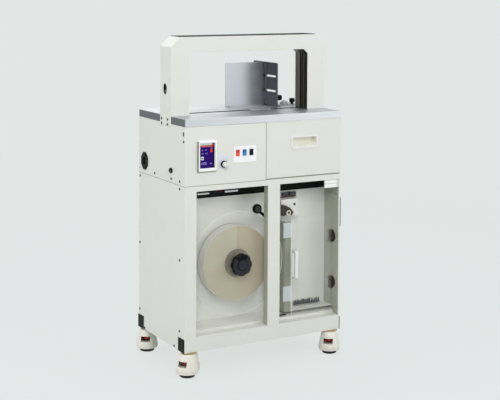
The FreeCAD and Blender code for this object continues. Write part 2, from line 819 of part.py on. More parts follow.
def housing_shell():
    side_front = front + s.sheet
    up = (shell_low, under)
    left_side = box("shell_left", (left, inside_left), (side_front, back), up)
    right_side = box("shell_right", (inside_right, right), (drawer_face_back + s.seam, back), up)
    rear = box("shell_rear", (left, right), (back - s.sheet, back), up)
    floor = box("shell_floor", (left, right), (drawer_face_back + s.seam, back), (shell_low, floor_up))
    sill = box("shell_sill", (left, panel_right - s.sheet), (side_front, drawer_face_back + s.seam * 2),
               (shell_low, floor_up))
    runners = []
    for name, x in (("left", drawer_left + s.drawer_inset * 2),
                    ("right", right - s.drawer_inset * 2 - s.runner_wide)):
        runners.append(box(name + "_runner", (x, x + s.runner_wide),
                           (drawer_face_back + s.seam, drawer_face_back + s.drawer_deep),
                           (floor_up, floor_up + s.runner_tall)))
    notches = []
    for name, across in (("left", (left - s.overrun, leg_in + s.seam)),
                         ("right", (-leg_in - s.seam, right + s.overrun))):
        notches.append(box(name + "_shell_notch", across, (arch_front - s.seam, arch_back + s.seam),
                           (arch_low - s.seam, under + s.overrun)))
    vents = []
    for row in range(vent_rows):
        z = under - s.vent_pitch * (row + 3)
        vents.append(box("shell_vent_%d" % row, (-s.vent_wide, s.vent_wide),
                         (back - s.overrun, back + s.overrun), (z, z + s.vent_tall)))
    inlet_y = front + s.inlet_setback
    inlet_z = seam_up + s.inlet_up
    reach = s.inlet_wide / 2 - s.inlet_corner + s.seam
    inlet = box("inlet_hole", (left - s.overrun, left + s.overrun), (inlet_y - reach, inlet_y + reach),
                (inlet_z - s.inlet_tall / 2 + s.inlet_corner, inlet_z + s.inlet_tall / 2 - s.inlet_corner))
    socket = rod("socket_hole", s.socket_bore + s.seam, "x", (left - s.overrun, left + s.overrun),
                 (front + s.socket_setback, seam_up + s.socket_up))
    node("housing_shell", cut("shell_cut", joined(
        "shell_folded", left_side, right_side, rear, floor, sill, *runners),
        *notches, *vents, inlet, socket))


def power_fittings():
    y = front + s.inlet_setback
    z = seam_up + s.inlet_up
    half = s.inlet_wide / 2
    tall = s.inlet_tall / 2
    corner = s.inlet_corner
    flange = prism("inlet_flange", "x", (left - s.inlet_proud, left), [
        (y - half + corner, z - tall), (y + half - corner, z - tall), (y + half, z - tall + corner),
        (y + half, z + tall - corner), (y + half - corner, z + tall), (y - half + corner, z + tall),
        (y - half, z + tall - corner), (y - half, z - tall + corner)])
    body = box("inlet_body", (left, left + s.inlet_body), (y - half + corner, y + half - corner),
               (z - tall + corner + s.seam, z + tall - corner - s.seam))
    reach = s.inlet_socket_wide / 2
    rise = s.inlet_socket_tall / 2
    mouth = box("inlet_mouth", (left - s.overrun, left + s.inlet_socket_deep),
                (y - reach, y + reach), (z - rise, z + rise))
    node("power_inlet", cut("inlet_open", joined("inlet_solid", flange, body), mouth))
    centre = (front + s.socket_setback, seam_up + s.socket_up)
    tip = left - s.socket_proud
    hollow = s.socket_bore - s.sheet
    node("foot_switch_socket", turned("socket_turned", [
        (0, left - s.sheet), (hollow, left - s.sheet), (hollow, tip), (s.socket_radius - s.sheet, tip),
        (s.socket_radius, tip + s.sheet), (s.socket_radius, left), (s.socket_bore, left),
        (s.socket_bore, left + s.socket_proud), (0, left + s.socket_proud)], "x", centre))


def control_panel():
    up = (seam_up + s.seam, under - s.seam)
    switch_z = seam_up + s.switch_up
    holes = []
    for index in range(3):
        x = left + s.switch_across + s.switch_pitch * index
        reach = s.switch_wide / 2 + s.clearance
        rise = s.switch_tall / 2 + s.clearance
        holes.append(rectangle((x - reach, x + reach), (switch_z - rise, switch_z + rise)))
    dial = ((left + s.dial_across, seam_up + s.dial_up), s.dial_shaft + s.running)
    face = prism("panel_face", "y", (front, front + s.sheet), rectangle((left, panel_right), up),
                 holes, [dial])
    edge = box("panel_edge", (panel_right - s.sheet, panel_right), (front + s.sheet, drawer_face_back), up)
    cell = box("switch_cell", (left + s.switch_across - s.switch_pitch / 2,
                               left + s.switch_across + s.switch_pitch * 5 / 2),
               (front + s.switch_body + s.sheet, front + s.switch_body + s.sheet * 2),
               (switch_z - s.switch_tall, switch_z + s.switch_tall))
    posts = []
    for index in range(4):
        x = left + s.switch_across + s.switch_pitch * (index - 0.5)
        thin = s.sheet / 2
        posts.append(box("switch_post_%d" % index, (x - thin, x + thin),
                         (front + s.sheet, front + s.switch_body + s.sheet),
                         (switch_z - s.switch_tall, switch_z + s.switch_tall)))
    node("control_panel", joined("panel_folded", face, edge, cell, *posts))
    x = left + s.screen_left
    z = seam_up + s.screen_up
    block = box("screen_block", (x, x + s.screen_wide), (front - s.screen_proud, front),
                (z, z + s.screen_tall))
    doc.recompute()
    bevelled = doc.addObject("Part::Chamfer", "screen_bevelled")
    bevelled.Base = block
    rim = []
    for number, run in enumerate(block.Shape.Edges, start=1):
        if run.BoundBox.YMax < float(front - s.screen_proud / 2):
            rim.append((number, float(s.screen_chamfer), float(s.screen_chamfer)))
    bevelled.Edges = rim
    glass = box("glass_recess", (x + s.glass_left, x + s.glass_left + s.glass_wide),
                (front - s.screen_proud - s.overrun, front - s.screen_proud + s.glass_deep),
                (z + s.glass_up, z + s.glass_up + s.glass_tall))
    node("touch_screen", cut("screen_recessed", bevelled, glass))


def controls():
    centre = (left + s.dial_across, seam_up + s.dial_up)
    tip = front - s.dial_long
    skirt = front - s.dial_skirt
    edge = s.sheet / 2
    stop = front - s.clearance
    node("control_knob", turned("dial_turned", [
        (0, tip), (s.dial_cap - edge, tip), (s.dial_cap, tip + edge), (s.dial_cap, skirt),
        (s.dial_radius - edge, skirt), (s.dial_radius, skirt + edge), (s.dial_radius, stop),
        (s.dial_shaft, stop), (s.dial_shaft, front + s.dial_skirt), (0, front + s.dial_skirt)],
        "y", centre))
    z = seam_up + s.switch_up
    for index, name in enumerate(("red_button", "blue_button", "black_button")):
        x = left + s.switch_across + s.switch_pitch * index
        cap = prism(name + "_cap", "y", (front - s.switch_proud, front + s.switch_body - s.switch_travel),
                    rectangle((x - s.switch_wide / 2, x + s.switch_wide / 2),
                              (z - s.switch_tall / 2, z + s.switch_tall / 2)))
        rear = front + s.switch_body - s.switch_travel
        stem = box(name + "_stem", (x - s.switch_travel, x + s.switch_travel),
                   (rear, rear + s.sheet - s.clearance), (z - s.switch_travel, z + s.switch_travel))
        node(name, joined(name + "_solid", cap, stem))


def drawer():
    x = (drawer_left, right)
    up = (drawer_low, drawer_high)
    handle_x = (drawer_left + right - s.handle_wide) / 2 + s.handle_shift
    handle_z = seam_up + s.handle_up
    hole = rectangle((handle_x + s.handle_rim - s.handle_wall - s.seam,
                      handle_x + s.handle_wide - s.handle_rim + s.handle_wall + s.seam),
                     (handle_z + s.handle_rim - s.handle_wall - s.seam,
                      handle_z + s.handle_tall - s.handle_rim + s.handle_wall + s.seam))
    face = prism("drawer_face", "y", (front, front + s.sheet), rectangle(x, up), [hole])
    inner = rectangle((drawer_left + s.sheet, right - s.sheet),
                      (drawer_low + s.sheet, drawer_high - s.sheet))
    rim = prism("drawer_rim", "y", (front + s.sheet, drawer_face_back), rectangle(x, up), [inner])
    node("drawer_front", joined("drawer_pan", face, rim))
    wall_left = drawer_left + s.drawer_inset
    wall_right = right - s.drawer_inset
    low = floor_up + s.runner_tall + s.clearance
    high = low + s.drawer_tall
    depth = (drawer_face_back, drawer_face_back + s.drawer_deep)
    solid = box("drawer_solid", (wall_left, wall_right), depth, (low, high))
    room = box("drawer_room", (wall_left + s.sheet, wall_right - s.sheet),
               (depth[0] + s.sheet, depth[1] - s.sheet), (low + s.sheet, high + s.overrun))
    node("drawer_box", cut("drawer_tub", solid, room))
    rim_block = prism("handle_plate", "y", (front - s.handle_proud, front),
                      rectangle((handle_x, handle_x + s.handle_wide), (handle_z, handle_z + s.handle_tall)))
    plate = rounded("handle_plate_rounded", rim_block, s.handle_corner, y_axis)
    in_x = (handle_x + s.handle_rim, handle_x + s.handle_wide - s.handle_rim)
    in_z = (handle_z + s.handle_rim, handle_z + s.handle_tall - s.handle_rim)
    cup = box("handle_cup", (in_x[0] - s.handle_wall, in_x[1] + s.handle_wall),
              (front, front + s.handle_cup + s.handle_wall),
              (in_z[0] - s.handle_wall, in_z[1] + s.handle_wall))
    pocket = prism("handle_pocket", "x", in_x, [
        (front - s.handle_proud - s.overrun, in_z[0]), (front - s.handle_proud, in_z[0]),
        (front + s.handle_cup, in_z[0] + s.handle_cup), (front + s.handle_cup, in_z[1]),
        (front - s.handle_proud - s.overrun, in_z[1])])
    node("drawer_handle", cut("handle_hollow", joined("handle_solid", plate, cup), pocket))


gap_front = front + s.table_gap_setback
gap_back = gap_front + s.table_gap
head_x = left + s.head_across
head_y = front + s.head_setback


def tables():
    leg_notches = []
    for name, across in (("left", (left - s.overrun, leg_in + s.seam)),
                         ("right", (-leg_in - s.seam, right + s.overrun))):
        leg_notches.append((name, across))
    for name, depth, inner in (
            ("front_table", (front, gap_front), (front + s.sheet, gap_front - s.sheet)),
            ("rear_table", (gap_back, back), (gap_back + s.sheet, back - s.sheet))):
        solid = box(name + "_solid", (left, right), depth, (under, deck))
        hollow = box(name + "_hollow", (inside_left, inside_right), inner,
                     (under - s.overrun, deck - s.sheet))
        tools = [hollow]
        for side, across in leg_notches:
            tools.append(box("%s_%s_notch" % (name, side), across,
                             (arch_front - s.seam, arch_back + s.seam),
                             (under - s.overrun, deck + s.overrun)))
        tools.append(box(name + "_head_notch", (head_x - s.seam, head_x + s.head_wide + s.seam),
                         (head_y - s.seam, head_y + s.head_deep + s.seam),
                         (under - s.overrun, deck + s.overrun)))
        node(name, cut(name + "_folded", solid, *tools))


def band_head():
    x = (head_x, head_x + s.head_wide)
    y = (head_y, head_y + s.head_deep)
    plate = box("head_cover", x, y, (deck - s.head_plate, deck))
    mouth = box("head_mouth", (head_x - s.overrun, head_x + s.head_wide + s.overrun),
                (gap_front, gap_back), (deck - s.head_plate - s.overrun, deck + s.overrun))
    skirt_left = box("head_skirt_left", (head_x, head_x + s.sheet), y, (under, deck - s.head_plate))
    skirt_right = box("head_skirt_right", (head_x + s.head_wide - s.sheet, head_x + s.head_wide), y,
                      (under, deck - s.head_plate))
    split = cut("head_cover_cut", plate, mouth)
    node("head_plate", joined("head_cover_folded", split, skirt_left, skirt_right))
    mid = head_x + s.head_wide / 2
    half = s.press_wide / 2
    press_low = under - s.press_tall
    press_x = (mid - half, mid + half)
    walls = []
    for name, across in (("left", (press_x[0], press_x[0] + s.press_wall)),
                         ("right", (press_x[1] - s.press_wall, press_x[1]))):
        walls.append(box(name + "_press_wall", across, (y[0] + s.press_wall, y[1]),
                         (floor_up, deck - s.head_plate)))
    bed = box("press_bed", press_x, (y[0] + s.press_wall, y[1]), (press_low, press_low + s.press_jaw))
    jaw = box("press_jaw", press_x, (gap_front + s.clearance, gap_back - s.clearance),
              (deck - s.head_plate - s.press_jaw, deck - s.head_plate))
    motor_y = y[1] + s.gearbox_deep / 2
    motor_z = floor_up + s.gearbox_wide / 2
    gearbox = box("gearbox", (mid - s.gearbox_wide / 2, mid + s.gearbox_wide / 2),
                  (y[1], y[1] + s.gearbox_deep), (floor_up, floor_up + s.gearbox_wide))
    can_right = mid - s.gearbox_wide / 2
    can = rod("motor_can", s.motor_radius, "x", (can_right - s.motor_long, can_right),
              (motor_y, motor_z))
    node("band_drive", joined("drive_unit", *walls, bed, jaw, gearbox, can))
    box_x = left + s.control_across
    box_y = front + s.control_setback
    node("control_box", box("electrics", (box_x, box_x + s.control_wide),
                            (box_y, box_y + s.control_deep), (floor_up, floor_up + s.control_tall)))


def arch_path(half, top, chamfer, inset, low):
    # One side of the arch in the X-Z plane, moved in by inset, from left foot to right foot
    slip = inset * corner_share
    side = half - inset
    high = top - inset
    shoulder = top - chamfer - slip
    near = half - chamfer - slip
    return [(-side, low), (-side, shoulder), (-near, high), (near, high), (side, shoulder), (side, low)]


def arch_outer(inset, low):
    return arch_path(right, arch_top, s.outer_chamfer, inset, low)


def arch_inner(outset, low):
    return arch_path(arch_half, arch_inner_top, s.inner_chamfer, -outset, low)


def arch():
    plate = arch_outer(nothing, arch_low) + arch_inner(nothing, arch_low)[::-1]
    band = arch_outer(nothing, arch_low) + arch_outer(s.sheet, arch_low)[::-1]
    node("arch_front_cover", prism("arch_front_plate", "y", (arch_front, arch_front + s.sheet), plate))
    back_plate = prism("arch_back_plate", "y", (arch_back - s.sheet, arch_back), plate)
    wrap = prism("arch_wrap", "y", (arch_front + s.sheet, arch_back - s.sheet), band)
    access_y = (arch_front + arch_back) / 2 + s.access_shift
    access_z = deck + s.access_up
    run = s.access_tall / 2 - s.access_wide / 2
    slots = []
    for name, z in (("low", access_z), ("high", access_z + s.access_tall - s.access_wide)):
        slots.append(rod("access_" + name, s.access_wide / 2, "x", (left - s.overrun, left + s.overrun),
                         (access_y, z)))
    slots.append(box("access_middle", (left - s.overrun, left + s.overrun),
                     (access_y - s.access_wide / 2, access_y + s.access_wide / 2),
                     (access_z, access_z + run * 2)))
    node("arch_rear_cover", cut("arch_rear_cut", joined("arch_rear_pan", back_plate, wrap), *slots))
    depth = (arch_front + s.sheet, arch_back - s.sheet)
    spine = prism("track_spine", "y", depth, arch_inner(s.track_rib, arch_low)
                  + arch_inner(s.track_rib + s.track_back, arch_low)[::-1])
    pitch = (depth[1] - depth[0] - s.rib_wide) / (track_ribs - 1)
    ribs = []
    for index in range(track_ribs):
        start = depth[0] + pitch * index
        ribs.append(prism("track_rib_%d" % index, "y", (start, start + s.rib_wide),
                          arch_inner(nothing, arch_low) + arch_inner(s.track_rib, arch_low)[::-1]))
    node("arch_track", joined("track_ribbed", spine, *ribs))
    edge = s.outer_chamfer + s.strip_inset
    node("arch_top_strip", box("top_strip", (left + edge, right - edge),
                               (arch_front + s.strip_inset, arch_back - s.strip_inset),
                               (arch_top, arch_top + s.strip_thick)))


side_x = left + s.side_stop_across
side_y = front + s.side_stop_setback
side_out = side_x + s.stop_plate
stop_low = deck + s.clearance
bolt_y = side_y + s.stop_slot_inset + s.stop_slot_long


def table_stops():
    top = stop_low + s.stop_tall
    plate = prism("side_stop_sheet", "x", (side_x, side_out),
                  rectangle((side_y, side_y + s.side_stop_deep), (stop_low, top)))
    plate = rounded("side_stop_rounded", plate, s.stop_corner, x_axis)
    foot = box("side_stop_foot", (side_x, side_x + s.stop_foot),
               (side_y + s.stop_slot_inset, side_y + s.side_stop_deep - s.stop_corner),
               (stop_low, stop_low + s.stop_plate))
    slots = []
    for name, up in (("low", s.stop_slot_low), ("high", s.stop_slot_high)):
        z = deck + up
        y = side_y + s.stop_slot_inset
        half = s.stop_slot_tall / 2
        span = (side_x - s.overrun, side_out + s.overrun)
        slots.append(box(name + "_slot", span, (y, bolt_y), (z - half, z + half)))
        slots.append(rod(name + "_slot_front", half, "x", span, (y, z)))
        slots.append(rod(name + "_slot_rear", half, "x", span, (bolt_y, z)))
    node("side_stop", cut("side_stop_slotted", joined("side_stop_folded", plate, foot), *slots))
    rear_x = side_x - s.clearance
    ear_out = rear_x - s.stop_plate
    rear_y = bolt_y + s.rear_stop_back
    sheet_piece = prism("rear_stop_sheet", "y", (rear_y, rear_y + s.stop_plate),
                        rectangle((rear_x - s.rear_stop_wide, rear_x), (stop_low, top - s.sheet)))
    sheet_piece = rounded("rear_stop_rounded", sheet_piece, s.stop_corner / 2, y_axis)
    ear = box("rear_stop_ear", (ear_out, rear_x), (rear_y - s.rear_stop_ear, rear_y),
              (stop_low + s.stop_corner, top - s.stop_corner))
    toe = box("rear_stop_toe", (rear_x - s.rear_stop_wide + s.stop_corner, rear_x - s.stop_corner),
              (rear_y - s.rear_stop_ear, rear_y), (stop_low, stop_low + s.stop_plate))
    bolts = []
    seat = side_out + s.clearance
    for name, up in (("low", s.stop_slot_low), ("high", s.stop_slot_high)):
        z = deck + up
        bolts.append(rod(name + "_bolt", s.stop_bolt, "x", (rear_x, seat), (bolt_y, z)))
        bolts.append(rod(name + "_bolt_head", s.stop_bolt_head, "x",
                         (seat, seat + s.stop_bolt_head_tall), (bolt_y, z)))
        bolts.append(rod(name + "_bolt_dome", s.stop_bolt_cap, "x",
                         (ear_out - s.stop_bolt_head_tall, ear_out), (bolt_y, z)))
    node("rear_stop", joined("rear_stop_bolted", sheet_piece, ear, toe, *bolts))
    bar_x = side_x + s.stop_foot
    bar_y = front + s.bar_setback
    bar_z = (stop_low, stop_low + s.bar_thick)
    middle = bar_y + s.bar_deep / 2
    bar = box("stop_bar_flat", (bar_x, bar_x + s.bar_long), (bar_y, bar_y + s.bar_deep), bar_z)
    dome = doc.addObject("Part::Sphere", "stop_dome")
    bind(dome, "Radius", s.dome_radius)
    dome.Angle1 = 0
    place(dome, bar_x + s.dome_across, middle, bar_z[1])
    thumb_x = bar_x + s.thumb_across
    slot = box("bar_slot", (thumb_x - s.bar_slot_long, thumb_x + s.bar_slot_wide),
               (middle - s.bar_slot_wide / 2, middle + s.bar_slot_wide / 2),
               (stop_low - s.overrun, bar_z[1] + s.overrun))
    node("stop_bar", cut("stop_bar_slotted", joined("stop_bar_domed", bar, dome), slot))
    thumb("bar_thumb_knob", "z", bar_z[1] + s.clearance, deck, (thumb_x, middle))
    thumb("side_thumb_knob", "x", side_out + s.clearance, side_out,
          (side_y + s.side_thumb_inset, deck + s.side_thumb_up))


def thumb(name, along, seat, root, centre):
    # A black lobed thumb knob: collar on its seat, grip above, stud down to its root
    collar = seat + s.thumb_collar
    top = collar + s.thumb_tall
    edge = s.sheet
    node(name, turned(name + "_turned", [
        (0, root), (s.thumb_stud, root), (s.thumb_stud, seat), (s.thumb_collar, seat),
        (s.thumb_collar, collar), (s.thumb_radius, collar + edge), (s.thumb_radius, top - edge),
        (s.thumb_radius - edge, top), (0, top)], along, centre))


def panel_screws():
    heads = []
    lower_z = seam_up - s.screw_edge
    rows = [
        (s.screw_front, lower_z), (s.cabinet_deep - s.screw_back, lower_z),
        (s.screw_front, base + s.screw_mid), (s.cabinet_deep - s.screw_back, base + s.screw_mid),
        (s.screw_front * 2, base + s.foot_screw),
        (s.cabinet_deep - s.guard_wide - s.screw_radius * 2, base + s.foot_screw),
        (s.screw_front, base + s.screw_low), (s.cabinet_deep - s.screw_back, base + s.screw_low),
        (s.screw_front, seam_up + s.screw_edge), (s.screw_front * 2.7, seam_up + s.screw_edge),
        (s.cabinet_deep * 0.64, seam_up + s.screw_edge), (s.screw_back, under - s.screw_front * 1.25)]
    for inset in (s.table_thick / 2, -s.foot_screw / 2 - s.seam):
        for setback in (s.arch_setback + s.arch_deep * 0.3, s.arch_setback + s.arch_deep * 0.85):
            rows.append((setback, under + inset))
    for index, (setback, z) in enumerate(rows):
        y = front + setback
        for side, ends in (("left", (left - s.screw_tall, left)), ("right", (right, right + s.screw_tall))):
            heads.append(rod("%s_screw_%d" % (side, index), s.screw_radius, "x", ends, (y, z)))
    node("panel_screws", group("screw_heads", *heads))


wheel_z = s.wheel_lift + s.wheel_radius
roof_up = s.caster_tall - s.ring_thick - s.clearance


def caster_housing(name):
    # The swivelling bell around the levelling pad, with the nut plate that the pad screws into,
    # the window on its adjuster and the two wheel cheeks
    outside = [
        (0, s.bell_low), (s.bell_low_radius, s.bell_low), (s.bell_waist_radius, s.bell_waist),
        (s.bell_top_radius + s.bell_wall, roof_up - s.bell_wall * 4),
        (s.bell_top_radius, roof_up - s.bell_wall), (s.bell_top_radius - s.bell_wall, roof_up),
        (0, roof_up)]
    inside = [
        (0, s.bell_low - s.overrun), (s.bell_low_radius - s.bell_wall, s.bell_low - s.overrun),
        (s.bell_waist_radius - s.bell_wall, s.bell_waist),
        (s.bell_top_radius - s.bell_wall, roof_up - s.bell_roof), (0, roof_up - s.bell_roof)]
    shift = -s.pad_forward
    bell = turned(name + "_bell", outside, "z", (0, shift))
    room = turned(name + "_room", inside, "z", (0, shift))
    bore = s.pad_stem + s.running
    reach = s.bell_waist_radius - s.bell_wall
    nut = turned(name + "_nut", [
        (bore, s.nut_up), (reach, s.nut_up), (reach, s.nut_up + s.nut_thick),
        (bore, s.nut_up + s.nut_thick)], "z", (0, shift))
    half = s.wheel_wide / 2 + s.clearance * 3
    outer = half + s.cheek_thick
    cheeks = box(name + "_cheeks", (-outer, outer), (nothing, s.wheel_back + s.cheek_tail),
                 (s.bell_low, roof_up))
    bay = box(name + "_bay", (-half, half), (s.wheel_back - s.wheel_radius - s.clearance * 4,
                                             s.wheel_back + s.wheel_radius * 2),
              (s.bell_low - s.overrun, s.bay_tall))
    slope = prism(name + "_slope", "x", (-outer - s.overrun, outer + s.overrun), [
        (s.ring_radius, roof_up + s.overrun), (s.ring_radius, roof_up),
        (s.wheel_back + s.cheek_tail, wheel_z + s.cheek_tail),
        (s.wheel_back + s.cheek_tail + s.overrun, wheel_z + s.cheek_tail),
        (s.wheel_back + s.cheek_tail + s.overrun, roof_up + s.overrun)])
    window = box(name + "_window", (-s.window_wide / 2, s.window_wide / 2),
                 (-s.pad_forward - s.bell_waist_radius - s.overrun, -s.pad_forward - s.pad_stem),
                 (s.window_up, s.window_up + s.window_tall))
    axle_hole = rod(name + "_axle_hole", s.wheel_axle, "x", (-outer - s.overrun, outer + s.overrun),
                    (s.wheel_back, wheel_z))
    axle = rod(name + "_axle", s.wheel_axle, "x", (-outer, outer), (s.wheel_back, wheel_z))
    shaft = rod(name + "_stem_hole", s.stem_radius + s.running, "z", (s.bay_tall, roof_up + s.overrun),
                (0, 0))
    hollow = cut(name + "_hollow", joined(name + "_body", bell, cheeks), room)
    shell = cut(name + "_shell", joined(name + "_with_nut", hollow, nut), bay, slope, window,
                axle_hole, shaft)
    return group(name, shell, axle)


def caster_wheel(name):
    half = s.wheel_wide / 2
    edge = s.sheet
    bore = s.wheel_axle + s.running
    return turned(name, [
        (bore, -half), (s.wheel_radius - edge, -half), (s.wheel_radius, -half + edge),
        (s.wheel_radius, half - edge), (s.wheel_radius - edge, half), (bore, half)],
        "x", (s.wheel_back, wheel_z))


def caster_pad(name):
    low = s.adjuster_up
    high = low + s.adjuster_thick
    edge = s.sheet
    return turned(name, [
        (0, nothing), (s.pad_radius - edge, nothing), (s.pad_radius, edge), (s.pad_radius, s.pad_thick),
        (s.pad_stem * 2, s.pad_thick + edge), (s.pad_stem, s.pad_thick + edge), (s.pad_stem, low),
        (s.adjuster_radius, low), (s.adjuster_radius, high), (0, high)], "z", (0, -s.pad_forward))


def casters():
    x = s.cabinet_wide / 2 - s.caster_side_inset
    y = s.cabinet_deep / 2 - s.caster_front_inset
    rings = []
    for name, across, depth, turn in (
            ("front_left", -x, -y, front_left_turn), ("front_right", x, -y, front_right_turn),
            ("rear_left", -x, y, rear_left_turn), ("rear_right", x, y, rear_right_turn)):
        swivel = Rotation(z_axis, turn)
        for kind, make in (("caster", caster_housing), ("wheel", caster_wheel), ("pad", caster_pad)):
            piece = make("%s_%s_shape" % (name, kind))
            placed = group("%s_%s_placed" % (name, kind), piece)
            place(placed, across, depth, 0, swivel)
            node("%s_%s" % (name, kind), placed)
        ring = rod(name + "_ring", s.ring_radius, "z", (base - s.ring_thick, base), (across, depth))
        stem = rod(name + "_stem", s.stem_radius, "z", (base - s.stem_long, base), (across, depth))
        rings.append(joined(name + "_ring_stem", ring, stem))
    node("caster_mounts", group("mount_rings", *rings))


cabinet_frame()
side_panels()
mounting_plate()
reel()
tension_arm()
band_pool()
pool_door()
hinges()
feed_unit()
outer_trim()
housing_shell()
power_fittings()
control_panel()
controls()
drawer()
tables()
band_head()
arch()
table_stops()
panel_screws()
casters()

doc.recompute()
for item in doc.Objects:
    if "Invalid" in item.State or "Error" in item.State:
        raise RuntimeError("%s did not build" % item.Label)
os.makedirs("parts", exist_ok=True)
for name, piece in nodes.items():
    shape = piece.Shape
    if shape.isNull() or not shape.isValid() or not shape.Solids:
        raise RuntimeError("%s is not a sound solid" % name)
    shape.exportStep("parts/%s.step" % name)
print("%d parts written" % len(nodes))
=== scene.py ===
# Arch banding machine for banknote bundles, in a plain pale studio
import json
import math
import random

import bmesh
import bpy
from mathutils import Matrix, Vector


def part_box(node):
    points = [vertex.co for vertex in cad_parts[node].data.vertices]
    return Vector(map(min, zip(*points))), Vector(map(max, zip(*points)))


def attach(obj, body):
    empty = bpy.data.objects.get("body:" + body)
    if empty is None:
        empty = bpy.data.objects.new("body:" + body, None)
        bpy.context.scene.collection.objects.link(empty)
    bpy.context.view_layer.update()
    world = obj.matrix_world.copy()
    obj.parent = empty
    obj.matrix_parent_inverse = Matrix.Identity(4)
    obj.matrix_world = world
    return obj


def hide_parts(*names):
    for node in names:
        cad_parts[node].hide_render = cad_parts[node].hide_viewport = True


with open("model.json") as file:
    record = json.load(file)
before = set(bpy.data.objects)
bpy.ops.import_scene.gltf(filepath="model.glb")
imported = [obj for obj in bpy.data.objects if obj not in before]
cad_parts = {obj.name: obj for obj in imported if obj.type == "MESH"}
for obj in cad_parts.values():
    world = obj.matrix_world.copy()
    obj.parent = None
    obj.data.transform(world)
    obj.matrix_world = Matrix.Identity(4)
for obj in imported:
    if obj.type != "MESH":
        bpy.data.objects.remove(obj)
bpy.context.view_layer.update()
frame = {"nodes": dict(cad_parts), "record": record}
scene = bpy.context.scene
bodyOf = {node: body for body, nodes in frame["record"]["behaviour"]["bodies"].items() for node in nodes}


def mm(*sizes):
    metres = [size / 1000 for size in sizes]
    return metres[0] if len(metres) == 1 else Vector(metres)


# Shader helpers

def linear(hexColour):
    # An sRGB hex colour as the linear one that Blender's sockets take
    channels = [int(hexColour[i:i + 2], 16) / 255 for i in (1, 3, 5)]
    low = [c / 12.92 if c <= 0.04045 else ((c + 0.055) / 1.055) ** 2.4 for c in channels]
    return (*low, 1.0)


def setInputs(tree, node, inputs):
    # An input is a plain value or another node's output socket
    for socket, value in inputs.items():
        if isinstance(value, bpy.types.NodeSocket):
            tree.links.new(value, node.inputs[socket])
        else:
            node.inputs[socket].default_value = value


def addNode(tree, kind, inputs, **settings):
    node = tree.nodes.new(kind)
    for name, value in settings.items():
        setattr(node, name, value)
    setInputs(tree, node, inputs)
    return node


def newMaterial(name):
    made = bpy.data.materials.new(name)
    made.use_nodes = True
    tree = made.node_tree
    surface = tree.nodes["Principled BSDF"]
    place = addNode(tree, "ShaderNodeTexCoord", {}).outputs["Object"]
    return made, tree, surface, place


def perMetre(size):
    # Texture scale for a pattern whose real spacing is a size in millimetres
    return 1000 / size


def noise(tree, place, size, detail, roughness=0.5):
    # Noise whose spots have a real size in millimetres
    return addNode(tree, "ShaderNodeTexNoise", {
        "Vector": place, "Scale": perMetre(size), "Detail": detail, "Roughness": roughness}).outputs["Fac"]


def blend(tree, factor, first, second):
    # A colour between two, each a hex colour or a socket
    first, second = (linear(tone) if isinstance(tone, str) else tone for tone in (first, second))
    return addNode(tree, "ShaderNodeMix", {
        "Factor": factor, "A": first, "B": second}, data_type="RGBA").outputs["Result"]


def ranged(tree, value, low, high, start=0.0, end=1.0):
    # A value that runs from start to end, turned into one from low to high
    return addNode(tree, "ShaderNodeMapRange", {
        "Value": value, "From Min": start, "From Max": end, "To Min": low, "To Max": high}).outputs["Result"]


def combine(tree, first, second, operation):
    return addNode(tree, "ShaderNodeMath", {0: first, 1: second}, operation=operation).outputs["Value"]


def bumped(tree, height, deep, strength):
    # Relief of a real depth in millimetres
    return addNode(tree, "ShaderNodeBump", {
        "Height": height, "Distance": mm(deep), "Strength": strength}).outputs["Normal"]


# Materials

coat = {"peel": 1.4, "deep": 0.02, "patch": 130, "drift": 0.05}


def powderCoat(name, colour, shade, roughness=0.44, shine=0.5):
    # Polyester powder coat, baked on steel sheet: an even satin skin with a faint orange peel
    made, tree, surface, place = newMaterial(name)
    patches = noise(tree, place, coat["patch"], 3.0, 0.6)
    peel = noise(tree, place, coat["peel"], 2.0)
    setInputs(tree, surface, {
        "Base Color": blend(tree, patches, colour, shade),
        "Roughness": ranged(tree, patches, roughness - coat["drift"], roughness + coat["drift"]),
        "Normal": bumped(tree, peel, coat["deep"], 0.35), "IOR": 1.5, "Specular IOR Level": shine})
    return made


brush = {"across": 0.5, "along": 45, "cloud": 70, "deep": 0.006, "smear": 0.4, "drift": (-0.07, 0.09)}


def brushedSteel(name, colour, shade, roughness):
    # Stainless sheet, belt brushed along its length: fine streaks that smear what it mirrors
    made, tree, surface, place = newMaterial(name)
    along, across = perMetre(brush["along"]), perMetre(brush["across"])
    stretched = addNode(tree, "ShaderNodeMapping", {"Vector": place, "Scale": (along, across, across)})
    grain = noise(tree, stretched.outputs["Vector"], 1000, 3.0, 0.7)
    clouds = noise(tree, place, brush["cloud"], 2.0)
    low, high = (roughness + drift for drift in brush["drift"])
    setInputs(tree, surface, {
        "Base Color": blend(tree, combine(tree, grain, clouds, "MULTIPLY"), colour, shade),
        "Roughness": ranged(tree, grain, low, high, 0.25, 0.75),
        "Normal": bumped(tree, grain, brush["deep"], 0.5), "Metallic": 1.0, "Anisotropic": brush["smear"]})
    return made


spark = {"grain": 0.7, "deep": 0.015, "patch": 25, "drift": 0.06}


def mouldedPlastic(name, colour, shade, roughness=0.4, grain=0.3, shine=0.5):
    # Injection moulded ABS or nylon: a fine spark-eroded grain that softens the highlight
    made, tree, surface, place = newMaterial(name)
    patches = noise(tree, place, spark["patch"], 2.0)
    pits = noise(tree, place, spark["grain"], 1.0)
    setInputs(tree, surface, {
        "Base Color": blend(tree, patches, colour, shade),
        "Roughness": ranged(tree, patches, roughness - spark["drift"], roughness + spark["drift"]),
        "Normal": bumped(tree, pits, spark["deep"], grain), "IOR": 1.53, "Specular IOR Level": shine})
    return made


plate = {"wear": 6, "drift": 0.1}


